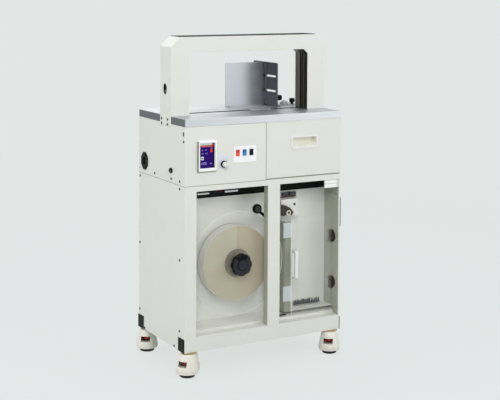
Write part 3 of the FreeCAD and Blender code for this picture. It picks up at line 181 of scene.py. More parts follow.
def platedMetal(name, colour, shade, roughness=0.3):
    # Turned or pressed metal with a bright plating: clean, slightly uneven mirror
    made, tree, surface, place = newMaterial(name)
    wear = noise(tree, place, plate["wear"], 3.0)
    setInputs(tree, surface, {
        "Base Color": blend(tree, wear, colour, shade), "Metallic": 1.0,
        "Roughness": ranged(tree, wear, roughness - plate["drift"], roughness + plate["drift"])})
    return made


def castAcrylic(name, tint, clear, solid, glow=0.0):
    # Cast acrylic sheet, laser cut: nearly clear from the front, whiter where it is seen edge on; a glow,
    # where given, is painted light
    made, tree, surface, place = newMaterial(name)
    facing = addNode(tree, "ShaderNodeLayerWeight", {"Blend": 0.3}).outputs["Facing"]
    lift = combine(tree, noise(tree, place, 160, 3.0), facing, "MULTIPLY")
    setInputs(tree, surface, {
        "Base Color": linear(tint), "Roughness": 0.08, "IOR": 1.49, "Emission Color": linear(tint),
        "Emission Strength": glow, "Alpha": ranged(tree, lift, clear, solid)})
    return made


wound = {"turn": 1.6, "deep": 0.2, "stain": (150, 0.2, 0.45, 0.62), "right": (0.55, -0.5, 0.5),
         "lower": (0.4, 6, -30)}


def woundBand(name, edgeColour, shade, tan):
    # Paper band with a heat-seal coat, wound flat: each turn shows as a fine ring on the face,
    # which is browner at the right and below as painted reflection and shade, over random stains
    made, tree, surface, place = newMaterial(name)
    low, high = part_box("band_roll")
    centred = addNode(tree, "ShaderNodeMapping", {"Vector": place, "Location": tuple(-(low + high) / 2)})
    flat = addNode(tree, "ShaderNodeVectorMath", {
        0: centred.outputs["Vector"], 1: (1, 0, 1)}, operation="MULTIPLY").outputs["Vector"]
    reach = addNode(tree, "ShaderNodeVectorMath", {0: flat}, operation="LENGTH").outputs["Value"]
    radius = addNode(tree, "ShaderNodeCombineXYZ", {"X": reach}).outputs["Vector"]
    turns = noise(tree, radius, wound["turn"], 4.0, 0.7)
    parts = addNode(tree, "ShaderNodeSeparateXYZ", {"Vector": flat}).outputs
    size, most, start, end = wound["stain"]
    stainAndReflection = ranged(tree, noise(tree, place, size, 1.0), 0.0, most, start, end)
    # The browning at the right and below is painted reflection and shade
    for way, (most, start, end) in (("X", wound["right"]), ("Z", wound["lower"])):
        stainAndReflection = combine(tree, stainAndReflection, ranged(tree, parts[way], 0.0, most, mm(start), mm(end)), "MAXIMUM")
    setInputs(tree, surface, {
        "Base Color": blend(tree, stainAndReflection, blend(tree, turns, edgeColour, shade), tan), "Roughness": 0.6,
        "Normal": bumped(tree, turns, wound["deep"], 0.4)})
    return made


def litGlass(name, colour, glow):
    # Display behind printed glass: a lit, even colour under a hard clean gloss
    made, tree, surface, place = newMaterial(name)
    setInputs(tree, surface, {
        "Base Color": (0, 0, 0, 1), "Roughness": 0.12, "Specular IOR Level": 0.12, "Emission Strength": 1.0,
        "Emission Color": blend(tree, noise(tree, place, 3, 1.0), colour, glow)})
    return made


cream = powderCoat("powderCoatCream", "#E9E9E4", "#E2E3DD")
# A brighter copy of the cream coat: painted light for the dim bays
paintedLightCoat = powderCoat("powderCoatPaintedLight", "#EDEEE8", "#E4E5DE", 0.3)
darkCoat = powderCoat("powderCoatBlack", "#0C0B0E", "#151417", 0.6, 0.15)
stainless = brushedSteel("stainlessBrushed", "#DCDDE1", "#BABDC2", 0.36)
stainlessDeck = brushedSteel("stainlessDeck", "#C9CBCF", "#A6A9AE", 0.38)
stopSteel = brushedSteel("stainlessStop", "#C6C9CE", "#A9ADB2", 0.36)
# Darker stainless copy: painted shade on the tables' folded ends
shadedStainlessEnd = brushedSteel("stainlessShadedEnd", "#85898E", "#75797E", 0.34)
# Darker stainless copy: painted shade on faces turned from the light
shadedStainless = brushedSteel("stainlessShadedSide", "#6C7075", "#5A5E63", 0.34)
# Olive copy of the cream coat: painted shade for faces inside the bays
paintedShadeOlive = powderCoat("powderCoatPaintedShade", "#B2B4A6", "#A9AB9D")
# Darker olive for the pool's lip: painted shade
paintedShadeLip = powderCoat("powderCoatPaintedShadeLip", "#999B8B", "#909283")
# Darker olive coat: painted shade in joints and on the screen bezel's shaded sides
paintedShadeSeam = powderCoat("jointPaintedShade", "#8F9184", "#878A7C", 0.6)
zinc = platedMetal("zincPlate", "#C9CACB", "#A9ABAD")
darkZinc = platedMetal("blackOxideScrew", "#3A3A3C", "#5A5A5C", 0.4)
brass = platedMetal("brassPassivated", "#CDB68C", "#9C8258", 0.3)
brassPale = platedMetal("brassPolished", "#EDE6D4", "#D8CDB2", 0.3)
bronze = mouldedPlastic("guideRailBronze", "#1E1B17", "#2C2822", 0.3)
coreGrey = mouldedPlastic("hubCoreGrey", "#857C68", "#7A715E", 0.5)
railBrown = mouldedPlastic("guideRailBrown", "#453B31", "#514536", 0.4)
plainBrown = mouldedPlastic("plainBrownPlastic", "#6A4A33", "#7C5A3E", 0.45)
hingeBrown = mouldedPlastic("hingeBrown", "#3E312B", "#4A3B33", 0.38)
hingePinHighlight = mouldedPlastic("hingePinPaintedHighlight", "#8C867C", "#7A7469", 0.4)
steelDark = platedMetal("steelBlackened", "#55565A", "#3E3F43", 0.36)
domeGrey = mouldedPlastic("satinAluminium", "#A9ACAF", "#9A9DA0", 0.4, 0.1)
pullGrey = mouldedPlastic("nylonPullGrey", "#9EA2A6", "#8F9397", 0.4)
silverCap = mouldedPlastic("silverCap", "#F2F2F0", "#DADBDC", 0.22, 0.05)
capGrey = mouldedPlastic("rollerCapGrey", "#33342F", "#3D3E39", 0.45, 0.3, 0.25)
blackGloss = mouldedPlastic("phenolicBlack", "#050507", "#08080B", 0.22, 0.08, 0.12)
whiteFilm = mouldedPlastic("polyesterWhite", "#FFFFFF", "#FAFAFD", 0.3, 0.08)
redPaintedShade = mouldedPlastic("absRedPaintedShade", "#D23A1A", "#C63214", 0.25, 0.1)
bluePaintedShade = mouldedPlastic("absBluePaintedShade", "#1070AE", "#0C66A2", 0.25, 0.1)
railGrey = mouldedPlastic("guideRailGrey", "#5A584F", "#6A675D", 0.4)
blackPlastic = mouldedPlastic("nylonBlack", "#08080A", "#0E0E11", 0.45, 0.3, 0.1)
greyPlastic = mouldedPlastic("nylonGreyCap", "#26262B", "#2E2E34", 0.5, 0.3, 0.15)
whitePlastic = mouldedPlastic("absWhite", "#F0F1F0", "#E8E9E7", 0.33, 0.2)
creamPlastic = mouldedPlastic("absCream", "#EFEDE2", "#E6E4D8", 0.36, 0.2)
lavenderFilm = mouldedPlastic("polyesterOverlay", "#E6E6F2", "#DDDDEB", 0.3, 0.1)
rubber = mouldedPlastic("rubberBlack", "#0D0D0E", "#161617", 0.7, 0.6)
redPlastic = mouldedPlastic("absRed", "#F2583A", "#EA4E30", 0.25, 0.1)
bluePlastic = mouldedPlastic("absBlue", "#2A90CC", "#2284C0", 0.25, 0.1)
dialRed = mouldedPlastic("nylonRed", "#A81010", "#8C0A0C", 0.4)
wheelNylon = mouldedPlastic("nylonWheel", "#4A4842", "#5A574F", 0.45)
clearSheet = castAcrylic("acrylicClear", "#EDF0EE", 0.04, 0.25)
# The cut edges glow: painted light
glowingClearEdge = castAcrylic("acrylicEdgePaintedGlow", "#FBFCFA", 0.8, 1.0, 0.3)
clearFlange = castAcrylic("acrylicFlange", "#E6E9E2", 0.09, 0.45)
# The catches glow faintly: painted light
clearBlue = castAcrylic("polycarbonateCatch", "#EAF4F9", 0.55, 0.85, 0.1)
clearLeaf = castAcrylic("acrylicLeaf", "#A5A798", 0.03, 0.1)
bandFace = woundBand("paperBandEdges", "#CBC7AE", "#BDB99F", "#B9A27C")
bandSide = mouldedPlastic("paperBandCoated", "#EAEAE2", "#DEDED4", 0.4, 0.1)
screenGlass = litGlass("displayViolet", "#22005C", "#2B0470")
screenRose = litGlass("displayRose", "#BE6450", "#B05A4A")
screenDark = litGlass("displayBlack", "#08070D", "#0C0A12")
screenPale = litGlass("displayPale", "#C3CFC8", "#B4C2BB")
screenRed = litGlass("displayRed", "#E03A1E", "#D23018")
# Glowing bars: painted highlights
paintedHighlightGlass = litGlass("paintedHighlightBar", "#B9BBBB", "#A4A7A8")
pilotRed = litGlass("pilotRed", "#7E1A1A", "#5E1010")
pilotGreen = litGlass("pilotGreen", "#22503A", "#1A3F2C")
screenHaze = litGlass("displayHaze", "#6A5A9E", "#7868AC")
print("materials ready")


# Mesh helpers, with every length in millimetres

def addBox(bm, low, high, finish=0):
    # An axis-parallel block between two corners
    spots = [bm.verts.new(mm(x, y, z)) for x in (low[0], high[0]) for y in (low[1], high[1])
             for z in (low[2], high[2])]
    for ring in ((0, 1, 3, 2), (4, 6, 7, 5), (0, 4, 5, 1), (2, 3, 7, 6), (0, 2, 6, 4), (1, 5, 7, 3)):
        bm.faces.new([spots[i] for i in ring]).material_index = finish


def spot(along, a, b, c):
    # A point with c along the axis and a, b across it, in the order x, y, z
    return {"x": (c, a, b), "y": (a, c, b), "z": (a, b, c)}[along]


def addPrism(bm, along, outline, low, high, finish=0):
    # An outline carried along an axis from low to high
    near = [bm.verts.new(mm(*spot(along, a, b, low))) for a, b in outline]
    far = [bm.verts.new(mm(*spot(along, a, b, high))) for a, b in outline]
    faces = [bm.faces.new(near), bm.faces.new(far)]
    for i in range(len(near)):
        j = (i + 1) % len(near)
        faces.append(bm.faces.new((near[i], near[j], far[j], far[i])))
    for face in faces:
        face.material_index = finish


def addLathe(bm, along, centre, profile, steps=48, finish=0, lobes=0, depth=0.0):
    # A profile of (radius, place along the axis), turned about the axis; its widest rings can have lobes
    widest = max(radius for radius, place in profile)
    rings = []
    for radius, place in profile:
        if radius == 0:
            rings.append([bm.verts.new(mm(*spot(along, *centre, place)))])
            continue
        share = depth if radius > widest * 0.8 else 0
        ring = []
        for i in range(steps):
            angle = 2 * math.pi * i / steps
            reach = radius * (1 - share * (0.5 + 0.5 * math.cos(angle * lobes)))
            a, b = centre[0] + reach * math.cos(angle), centre[1] + reach * math.sin(angle)
            ring.append(bm.verts.new(mm(*spot(along, a, b, place))))
        rings.append(ring)
    for near, far in zip(rings, rings[1:]):
        for i in range(steps):
            j = (i + 1) % steps
            ring = [near[i % len(near)], near[j % len(near)], far[j % len(far)], far[i % len(far)]]
            ring = list(dict.fromkeys(ring))
            if len(ring) > 2:
                bm.faces.new(ring).material_index = finish


def roundedOutline(low, high, radius, steps=6):
    # The outline of a rectangle with round corners
    points = []
    left, right, bottom, top = low[0] + radius, high[0] - radius, low[1] + radius, high[1] - radius
    for cx, cy, start in ((right, top, 0), (left, top, 90), (left, bottom, 180), (right, bottom, 270)):
        for i in range(steps + 1):
            angle = math.radians(start + 90 * i / steps)
            points.append((cx + radius * math.cos(angle), cy + radius * math.sin(angle)))
    return points


def finishPiece(name, bm, finishes, edge=0.0, rounds=2, stands=(), sharp=32, body="cabinet"):
    # Turns a bmesh into a piece with smooth shading and, where asked, rounded edges
    bmesh.ops.recalc_face_normals(bm, faces=bm.faces)
    for side in bm.faces:
        side.smooth = True
    for line in bm.edges:
        if len(line.link_faces) == 2 and line.calc_face_angle(0) > math.radians(sharp):
            line.smooth = False
    mesh = bpy.data.meshes.new(name)
    bm.to_mesh(mesh)
    bm.free()
    for finish in finishes:
        mesh.materials.append(finish)
    piece = bpy.data.objects.new(name, mesh)
    scene.collection.objects.link(piece)
    if edge:
        soft = piece.modifiers.new("roundedEdges", "BEVEL")
        soft.width = mm(edge)
        soft.segments = rounds
        soft.limit_method = "ANGLE"
        soft.angle_limit = math.radians(sharp)
        soft.harden_normals = True
    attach(piece, body)
    if stands:
        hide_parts(*stands)


def nodeMesh(node):
    # A working copy of a CAD node's mesh, welded and with its flat faces joined up
    bm = bmesh.new()
    bm.from_mesh(frame["nodes"][node].data)
    bmesh.ops.remove_doubles(bm, verts=bm.verts, dist=mm(0.002))
    bmesh.ops.dissolve_limit(bm, angle_limit=math.radians(0.5), verts=bm.verts, edges=bm.edges)
    return bm


def dress(node, finishes, edge=0.6, rounds=2, choose=None, sharp=32):
    # A CAD node with its folded or moulded edges rounded; choose picks a finish for each face
    bm = nodeMesh(node)
    if choose:
        for face in bm.faces:
            face.material_index = int(choose(face))
    finishPiece(node + "_dressed", bm, finishes, edge, rounds, (node,), sharp, bodyOf[node])


def corners(node):
    # The lowest and highest corner of a CAD node
    low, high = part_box(node)
    return low * 1000, high * 1000


def middleOf(face):
    return face.calc_center_median() * 1000


def axisOf(node):
    # Where a CAD node's middle lies across y
    low, high = corners(node)
    middle = (low + high) / 2
    return middle.x, middle.z


def nearAxis(face, centre, radius):
    # True where a face lies within a radius of an axis along y
    spotted = middleOf(face)
    return math.hypot(spotted.x - centre[0], spotted.z - centre[1]) < radius


def looseParts(node):
    # The box of each separate solid of a CAD node, sorted so that each run gives the same order
    bm = nodeMesh(node)
    left = set(bm.verts)
    boxes = []
    while left:
        queue = [left.pop()]
        island = list(queue)
        while queue:
            for line in queue.pop().link_edges:
                for vert in line.verts:
                    if vert in left:
                        left.remove(vert)
                        queue.append(vert)
                        island.append(vert)
        spots = [vert.co * 1000 for vert in island]
        boxes.append([Vector([pick(side) for side in zip(*spots)]) for pick in (min, max)])
    bm.free()
    return sorted(boxes, key=lambda box: tuple(box[0]))


# Camera and studio

view = {"yaw": 29.256, "pitch": 2.0, "roll": 0.293, "lens": 87.921, "shift": -0.3609,
        "place": (-2.1277, -3.8720, 1.3626)}


def setCamera():
    yaw, pitch, roll = (math.radians(view[turn]) for turn in ("yaw", "pitch", "roll"))
    ahead = Vector((math.sin(yaw) * math.cos(pitch), math.cos(yaw) * math.cos(pitch), -math.sin(pitch)))
    level = Vector((math.cos(yaw), -math.sin(yaw), 0))
    above = level.cross(ahead)
    rightward = level * math.cos(roll) + above * math.sin(roll)
    upward = above * math.cos(roll) - level * math.sin(roll)
    lens = bpy.data.cameras.new("camera")
    lens.lens = view["lens"]
    lens.sensor_width = 36
    lens.shift_y = view["shift"]
    lens.clip_end = 100
    eye = bpy.data.objects.new("camera", lens)
    turned = Matrix((rightward, upward, -ahead)).transposed().to_4x4()
    eye.matrix_world = Matrix.Translation(view["place"]) @ turned
    scene.collection.objects.link(eye)
    scene.camera = eye


studio = {"pale": "#E2E7E6", "paper": "#565959", "bounce": "#C8CCCB", "ambient": 0.5, "lit": 0.88,
          "flag": (0.32, 1.0, -0.95, -0.1), "fade": (1.6, 4.5), "radius": 9.0, "drop": -0.3}


def mixShader(tree, factor, first, second):
    return addNode(tree, "ShaderNodeMixShader", {0: factor, 1: first, 2: second}).outputs[0]


def paleWorld():
    # Even pale surround; mirrors see it darker on the left, where the studio has a grey flag
    world = bpy.data.worlds.new("studio")
    scene.world = world
    world.use_nodes = True
    tree = world.node_tree
    tree.nodes.clear()
    pale = linear(studio["pale"])
    rays = addNode(tree, "ShaderNodeLightPath", {}).outputs
    place = addNode(tree, "ShaderNodeTexCoord", {}).outputs["Generated"]
    split = addNode(tree, "ShaderNodeSeparateXYZ", {"Vector": place}).outputs
    side = ranged(tree, split["X"], *studio["flag"])
    ambient, mirrored, seen = (
        addNode(tree, "ShaderNodeBackground", {"Color": colour, "Strength": strength}).outputs[0]
        for colour, strength in (((1, 1, 1, 1), studio["ambient"]), (pale, side), (pale, 1.0)))
    clear = combine(tree, rays["Is Camera Ray"], rays["Is Transmission Ray"], "MAXIMUM")
    gloss = mixShader(tree, rays["Is Glossy Ray"], ambient, mirrored)
    addNode(tree, "ShaderNodeOutputWorld", {"Surface": mixShader(tree, clear, gloss, seen)})


def paleFloor():
    # Seamless paper floor: the backdrop's own colour, with the machine's soft shadow on it
    made = bpy.data.materials.new("seamlessPaper")
    made.use_nodes = True
    tree = made.node_tree
    tree.nodes.clear()
    rays = addNode(tree, "ShaderNodeLightPath", {}).outputs
    place = addNode(tree, "ShaderNodeTexCoord", {}).outputs["Object"]
    reach = addNode(tree, "ShaderNodeVectorMath", {0: place}, operation="LENGTH").outputs["Value"]
    clear = combine(tree, rays["Is Camera Ray"], rays["Is Glossy Ray"], "MAXIMUM")
    clear = combine(tree, clear, rays["Is Transmission Ray"], "MAXIMUM")
    lit = addNode(tree, "ShaderNodeEmission", {"Color": linear(studio["pale"]), "Strength": studio["lit"]})
    paper, bounce = (addNode(tree, "ShaderNodeBsdfDiffuse", {"Color": linear(studio[tone])}).outputs[0]
                     for tone in ("paper", "bounce"))
    seen = addNode(tree, "ShaderNodeAddShader", {0: lit.outputs[0], 1: paper}).outputs[0]
    beyond = addNode(tree, "ShaderNodeBsdfTransparent", {}).outputs[0]
    fade = ranged(tree, reach, 0.0, 1.0, *studio["fade"])
    whole = mixShader(tree, fade, mixShader(tree, clear, bounce, seen), beyond)
    addNode(tree, "ShaderNodeOutputMaterial", {"Surface": whole})
    bm = bmesh.new()
    bmesh.ops.create_circle(bm, cap_ends=True, segments=96, radius=studio["radius"])
    mesh = bpy.data.meshes.new("floor")
    bm.to_mesh(mesh)
    bm.free()
    mesh.materials.append(made)
    floor = bpy.data.objects.new("floor", mesh)
    floor.location.z = mm(studio["drop"])
    scene.collection.objects.link(floor)


# Each lamp's place and size in metres, and its power
lamps = {"key": ((-1.6, -3.2, 2.9), 1.8, 58), "fill": ((2.6, -3.0, 1.6), 2.2, 26),
         "top": ((0.2, 0.3, 3.6), 2.4, 34), "left": ((-3.4, 0.2, 1.3), 2.4, 26),
         "rear": ((0.6, 3.4, 2.2), 2.4, 12)}
lampAim = Vector((0, 0, 0.6))


def softLamps():
    for name, (place, size, power) in lamps.items():
        light = bpy.data.lights.new(name, "AREA")
        light.shape = "DISK"
        light.size = size
        light.energy = power
        lamp = bpy.data.objects.new(name, light)
        lamp.location = place
        lamp.rotation_euler = (lampAim - lamp.location).to_track_quat("-Z", "Y").to_euler()
        scene.collection.objects.link(lamp)


scene.view_settings.view_transform = "Standard"
setCamera()
paleWorld()
paleFloor()
softLamps()
print("camera and studio ready")


# Sheet metal of the cabinet, the housing, the tables and the arch

shaded = {"front": -188.0, "wall": 311.5, "panel": 312.5}
ear = {"left": 3.0, "low": 40.0, "right": 5.0, "bolt": 0.0002}


def frameFinish(face):
    # Faces that look into the bays get the olive coat as painted shade; the rest is cream
    spotted = middleOf(face)
    return abs(face.normal.x) > 0.5 and spotted.y > shaded["front"] and abs(spotted.x) < shaded["wall"]


# The right panel's inner face gets the olive coat as painted shade
def panelFinish(face):
    return face.normal.x < -0.5 and middleOf(face).x < shaded["panel"]


def rearStopFinish(face):
    # The ear faces away from the light as the side stop does, so it gets the same darker steel as painted
    # shade; its bolt heads are black
    spotted = middleOf(face)
    low, high = corners("side_stop")
    if spotted.x < low.x - ear["left"] and spotted.z > low.z + ear["low"] and face.calc_area() < ear["bolt"]:
        return 2
    return face.normal.x < -0.9 and spotted.x > low.x - ear["right"]


def tableFinish(face):
    # The folded ends get a darker steel as painted shade; the deck is darker than the front and rear folds,
    # whose brighter steel is painted light
    return 1 if abs(face.normal.x) > 0.9 else 2 if face.normal.z > 0.9 else 0


dress("cabinet_frame", [cream, paintedShadeOlive], 0.9, choose=frameFinish)
dress("right_side_panel", [cream, paintedShadeOlive], 0.9, choose=panelFinish)
for node in ("left_side_panel", "rear_panel", "housing_shell", "control_panel", "drawer_front",
             "drawer_box"):
    dress(node, [cream], 0.9)
# The mounting plate takes the brighter coat: painted light in the bay
dress("mounting_plate", [paintedLightCoat], 0.8)
dress("control_box", [darkCoat], 1.0)
dress("band_drive", [zinc], 1.0)
for node in ("arch_front_cover", "arch_rear_cover"):
    dress(node, [cream], 0.7)
for node in ("front_table", "rear_table"):
    dress(node, [stainless, shadedStainlessEnd, stainlessDeck], 2.2, 3, choose=tableFinish)
dress("head_plate", [stainless], 0.6)
# The side stop takes the darker stainless as painted shade
dress("side_stop", [shadedStainless], 0.5)
dress("rear_stop", [stopSteel, shadedStainless, blackPlastic], 0.5, choose=rearStopFinish)
dress("arch_track", [bronze], 0.8)
dress("arch_top_strip", [darkCoat], 0.4)
dress("corner_guards", [blackPlastic], 1.0)
dress("side_pull", [pullGrey], 1.0)
# The handle's front rim is whiter: a painted highlight
handleRimHighlight = corners("drawer_handle")[0].y + 1
dress("drawer_handle", [creamPlastic, whitePlastic], 0.0,
      choose=lambda face: face.normal.y < -0.5 and middleOf(face).y < handleRimHighlight)
print("sheet metal dressed")

# Guide strips round the inside of the arch, the back of its side slot and a dark liner of painted shade in
# the deck's channel

strips = {"half": 240.9, "top": 1099.9, "chamfer": 16.0, "low": 882.0, "thick": 0.6,
          "reach": ((-24.0, 3.0), (-54.0, -48.5))}


def makeGuideStrips():
    # A grey strip and a brown one, each in five flat lengths
    nook, foot, paths = strips["chamfer"], strips["low"], []
    for inset in (0, strips["thick"]):
        half, top = strips["half"] - inset, strips["top"] - inset
        paths.append([(half, foot), (half, top - nook), (half - nook, top), (nook - half, top),
                      (-half, top - nook), (-half, foot)])
    outer, inner = paths
    bm = bmesh.new()
    for finish, (near, far) in enumerate(strips["reach"]):
        for k in range(len(outer) - 1):
            addPrism(bm, "y", [outer[k], outer[k + 1], inner[k + 1], inner[k]], near, far, finish)
    finishPiece("arch_guide_strips", bm, [railGrey, railBrown])


slotBack = {"x": -308.0, "y": -28.5, "half": 18.0, "deep": 2, "round": 3,
            "parts": ((948.0, 968.0, 0), (968.0, 995.0, 1))}
deckGap = {"half": 238.0, "low": 870.0, "high": 881.0, "side": 0.3, "head": 0.5}


def makeSlotBack():
    bm = bmesh.new()
    x, y, half = slotBack["x"], slotBack["y"], slotBack["half"]
    for low, high, finish in slotBack["parts"]:
        outline = roundedOutline((y - half, low), (y + half, high), slotBack["round"])
        addPrism(bm, "x", outline, x - finish, x + slotBack["deep"], finish)
    finishPiece("access_slot_back", bm, [railGrey, darkCoat])


# A dark sheet in the deck's gap: painted shade
def makeDeckShadeLiner():
    bm = bmesh.new()
    front, rear = corners("front_table")[1].y + deckGap["side"], corners("rear_table")[0].y - deckGap["side"]
    headLeft, headRight = corners("head_plate")[0].x, corners("head_plate")[1].x
    for left, right in ((-deckGap["half"], headLeft - deckGap["head"]),
                        (headRight + deckGap["head"], deckGap["half"])):
        addBox(bm, (left, front, deckGap["low"]), (right, rear, deckGap["high"]))
    finishPiece("deck_gap_painted_shade", bm, [darkCoat], 0.3)


makeGuideStrips()
makeSlotBack()
makeDeckShadeLiner()

# Screws: pan heads with a cross recess

panHead = {"share": 0.66, "under": 0.1}
lone = {"centre": (182.5, 668.0), "seat": -313.0, "top": -314.5, "radius": 2.7}
recess = {"long": 1.3, "wide": 0.3, "proud": 0.02, "deep": 0.3}


def addScrew(bm, along, centre, seat, top, radius):
    rise = top - seat
    addLathe(bm, along, centre, [(0, seat), (radius, seat), (radius, seat + rise * 0.4),
                                 (radius * 0.85, seat + rise * 0.75), (radius * 0.5, top), (0, top)], 20)
    half, thin = radius * recess["long"] / 2, radius * recess["wide"] / 2
    way = math.copysign(1, rise)
    level = sorted((top - way * recess["deep"], top + way * recess["proud"]))
    for reachA, reachB in ((half, thin), (thin, half)):
        low = spot(along, centre[0] - reachA, centre[1] - reachB, level[0])
        high = spot(along, centre[0] + reachA, centre[1] + reachB, level[1])
        addBox(bm, low, high, 1)


def makePanelScrews():
    # The CAD's screws, and one more low on the housing's left side
    bm = bmesh.new()
    for low, high in looseParts("panel_screws"):
        size, middle = high - low, (low + high) / 2
        k = min(range(3), key=lambda i: size[i])
        outward = middle[k] > 0 or k == 2
        under = panHead["under"]
        seat, top = (low[k], high[k] - under) if outward else (high[k], low[k] + under)
        centre = [middle[i] for i in range(3) if i != k]
        addScrew(bm, "xyz"[k], centre, seat, top, max(size) * panHead["share"])
    addScrew(bm, "x", **lone)
    finishPiece("panel_screws_dressed", bm, [darkZinc, darkCoat], stands=("panel_screws",))


makePanelScrews()
wallSheet = 2.05
wallFace = corners("right_side_panel")[1].x - wallSheet
strip = {"low": 603.0, "high": 631.5, "left": 250.0, "front": -184.0, "thick": 1.5, "fold": (616.5, 618.0),
         "end": 3, "proud": 0.1}
bead = {"centre": (-167.0, 574.0), "profile": ((0, 0), (2.4, 0), (2.4, 1), (0, 1.4))}


def makeWallTop():
    # A white strip of painted light across the bay's top right corner, with a fold line in olive painted
    # shade, and a screw in the wall below it
    left, front, proud = strip["left"], strip["front"], strip["proud"]
    low, high = strip["fold"]
    bm = bmesh.new()
    addBox(bm, (left, front, strip["low"]), (wallFace, front + strip["thick"], strip["high"]))
    addBox(bm, (left, front - proud, low), (wallFace - strip["end"], front + proud, high), 1)
    addLathe(bm, "x", bead["centre"], [(radius, wallFace - out) for radius, out in bead["profile"]], 12, 2)
    finishPiece("right_wall_top", bm, [whiteFilm, paintedShadeOlive, darkCoat])


makeWallTop()
joint = {"back": 1.0, "thick": 0.8, "proud": 0.12, "tall": 1.3, "gap": 0.05, "over": 0.5, "play": 0.1,
         "inset": 2, "deep": 0.3}


def makeJoints():
    # Sheets behind the joints round the drawer front, cream above it and olive painted shade beside and below
    # it, and strips of painted shade along the joint above the lower cabinet
    low, high = corners("drawer_front")
    front, proud, deep = low.y + joint["back"], joint["proud"], joint["deep"]
    back, right = front + joint["thick"], high.x - joint["inset"]
    gap, play = joint["gap"], joint["play"]
    left = corners("control_panel")[1].x
    under = corners("front_table")[0].z - play
    seam = corners("cabinet_frame")[1].z
    foot = seam + joint["over"]
    bm = bmesh.new()
    addBox(bm, (left + gap, front, foot), (low.x - gap, back, high.z), 1)
    addBox(bm, (low.x, front, foot), (right, back, low.z - play), 1)
    addBox(bm, (low.x, front, high.z + play), (right, back, under))
    for start, end in (((-high.x - proud, low.y - proud), (left, low.y + deep)),
                       ((-high.x - proud, low.y - proud), (deep - high.x, -low.y)),
                       ((high.x - deep, low.y - proud), (high.x + proud, -low.y))):
        addBox(bm, (*start, seam - joint["tall"]), (*end, seam - gap), 1)
    finishPiece("housing_joints", bm, [cream, paintedShadeSeam])


wings = {"y": -142.0, "z": (417.0, 248.0), "thick": 1.2, "pin": (2.0, 13.0), "out": 2.2,
         "lower": ((-22, -7), (-16, -16), (-5, -22), (0, -14), (5, -22), (16, -16), (22, -7))}


def makeHingeWings():
    # Butterfly hinges on the right wall: two brown wings with a paler pin between them, the pin's paleness a
    # painted highlight
    y = wings["y"]
    shape = [*wings["lower"], *((-a, -b) for a, b in wings["lower"])]
    radius, long = wings["pin"]
    for k, z in enumerate(wings["z"]):
        bm = bmesh.new()
        addPrism(bm, "x", [(y + a, z + b) for a, b in shape], wallFace - wings["thick"], wallFace)
        profile = [(0, z - long), (radius, z - long), (radius, z + long), (0, z + long)]
        addLathe(bm, "z", (wallFace - wings["out"], y), profile, 16, 1)
        finishPiece("hinge_wings_%d" % k, bm, [hingeBrown, hingePinHighlight], 0.3)


plug = {"low": (-180.4, 822.5), "high": (-173.6, 837.5), "round": 3.0, "out": 0.9, "in": 0.4}
sill = ((64.0, -150.0, 151.0), (111.0, -148.5, 156.0))


def makePlug():
    # An oblong black plug on the housing's side, and a dark strip of painted shadow under the pool's front
    # lip
    x = corners("housing_shell")[0].x
    outline = roundedOutline(plug["low"], plug["high"], plug["round"])
    bm = bmesh.new()
    addPrism(bm, "x", outline, x - plug["out"], x + plug["in"])
    finishPiece("side_plug", bm, [blackPlastic], 0.3)
    bm = bmesh.new()
    addBox(bm, *sill)
    finishPiece("sill_painted_shadow", bm, [darkCoat])


bow = {"x": (323.2, 326.2), "y": (-177.0, -143.0), "inset": 8.0, "slope": 6.0, "foot": 1.5}


def makePullBow():
    # The grip of the side pull: a slab on its cup, bevelled towards the wall
    low, high = corners("side_pull")
    z0, z1 = low.z + bow["inset"], high.z - bow["inset"]
    inner, outer = bow["x"][0] - bow["foot"], bow["x"][1]
    bm = bmesh.new()
    addPrism(bm, "y", [(inner, z0), (outer, z0 + bow["slope"]), (outer, z1 - bow["slope"]), (inner, z1)],
             *bow["y"])
    finishPiece("side_pull_bow", bm, [pullGrey], 1.0)


makeJoints()
makePullBow()
makeHingeWings()
makePlug()
print("screws and strips ready")

# Black plate of painted shade over the mounting plate, with two glowing bars of painted highlight and its
# pilot lamps

shadePlate = {"low": (-309.0, -84.0, 588.1), "high": (309.0, -82.0, 648.5),
          "bars": ((-213.0, -167.0, 600.0, 605.5), (-104.5, -52.0, 600.5, 606.5)),
          "bar": (2.0, 2.5), "pilot": ((0, 0), (1.8, 0), (1.8, 1.5), (1.2, 2.3), (0, 2.6)),
          "pilots": ((-139.0, 606.5, 0), (-128.5, 604.5, 1), (-118.0, 606.0, 0), (-147.0, 602.0, 1))}


def makeShadePlate():
    # A black plate where the cabinet's inside is in shade: painted shade
    front = shadePlate["low"][1]
    bm = bmesh.new()
    addBox(bm, shadePlate["low"], shadePlate["high"])
    finishPiece("painted_shade_plate", bm, [darkCoat], 0.5)
    bm = bmesh.new()
    # Two glowing bars: painted highlights on the plate
    nook, proud = shadePlate["bar"]
    for left, right, low, high in shadePlate["bars"]:
        addPrism(bm, "y", roundedOutline((left, low), (right, high), nook), front - proud, front)
    finishPiece("painted_highlight_bars", bm, [paintedHighlightGlass], 0.8)
    bm = bmesh.new()
    for x, z, finish in shadePlate["pilots"]:
        addLathe(bm, "y", (x, z), [(radius, front - out) for radius, out in shadePlate["pilot"]], 20, finish)
    finishPiece("shade_plate_pilots", bm, [pilotRed, pilotGreen])


makeShadePlate()

# Reel, roll and tension arm

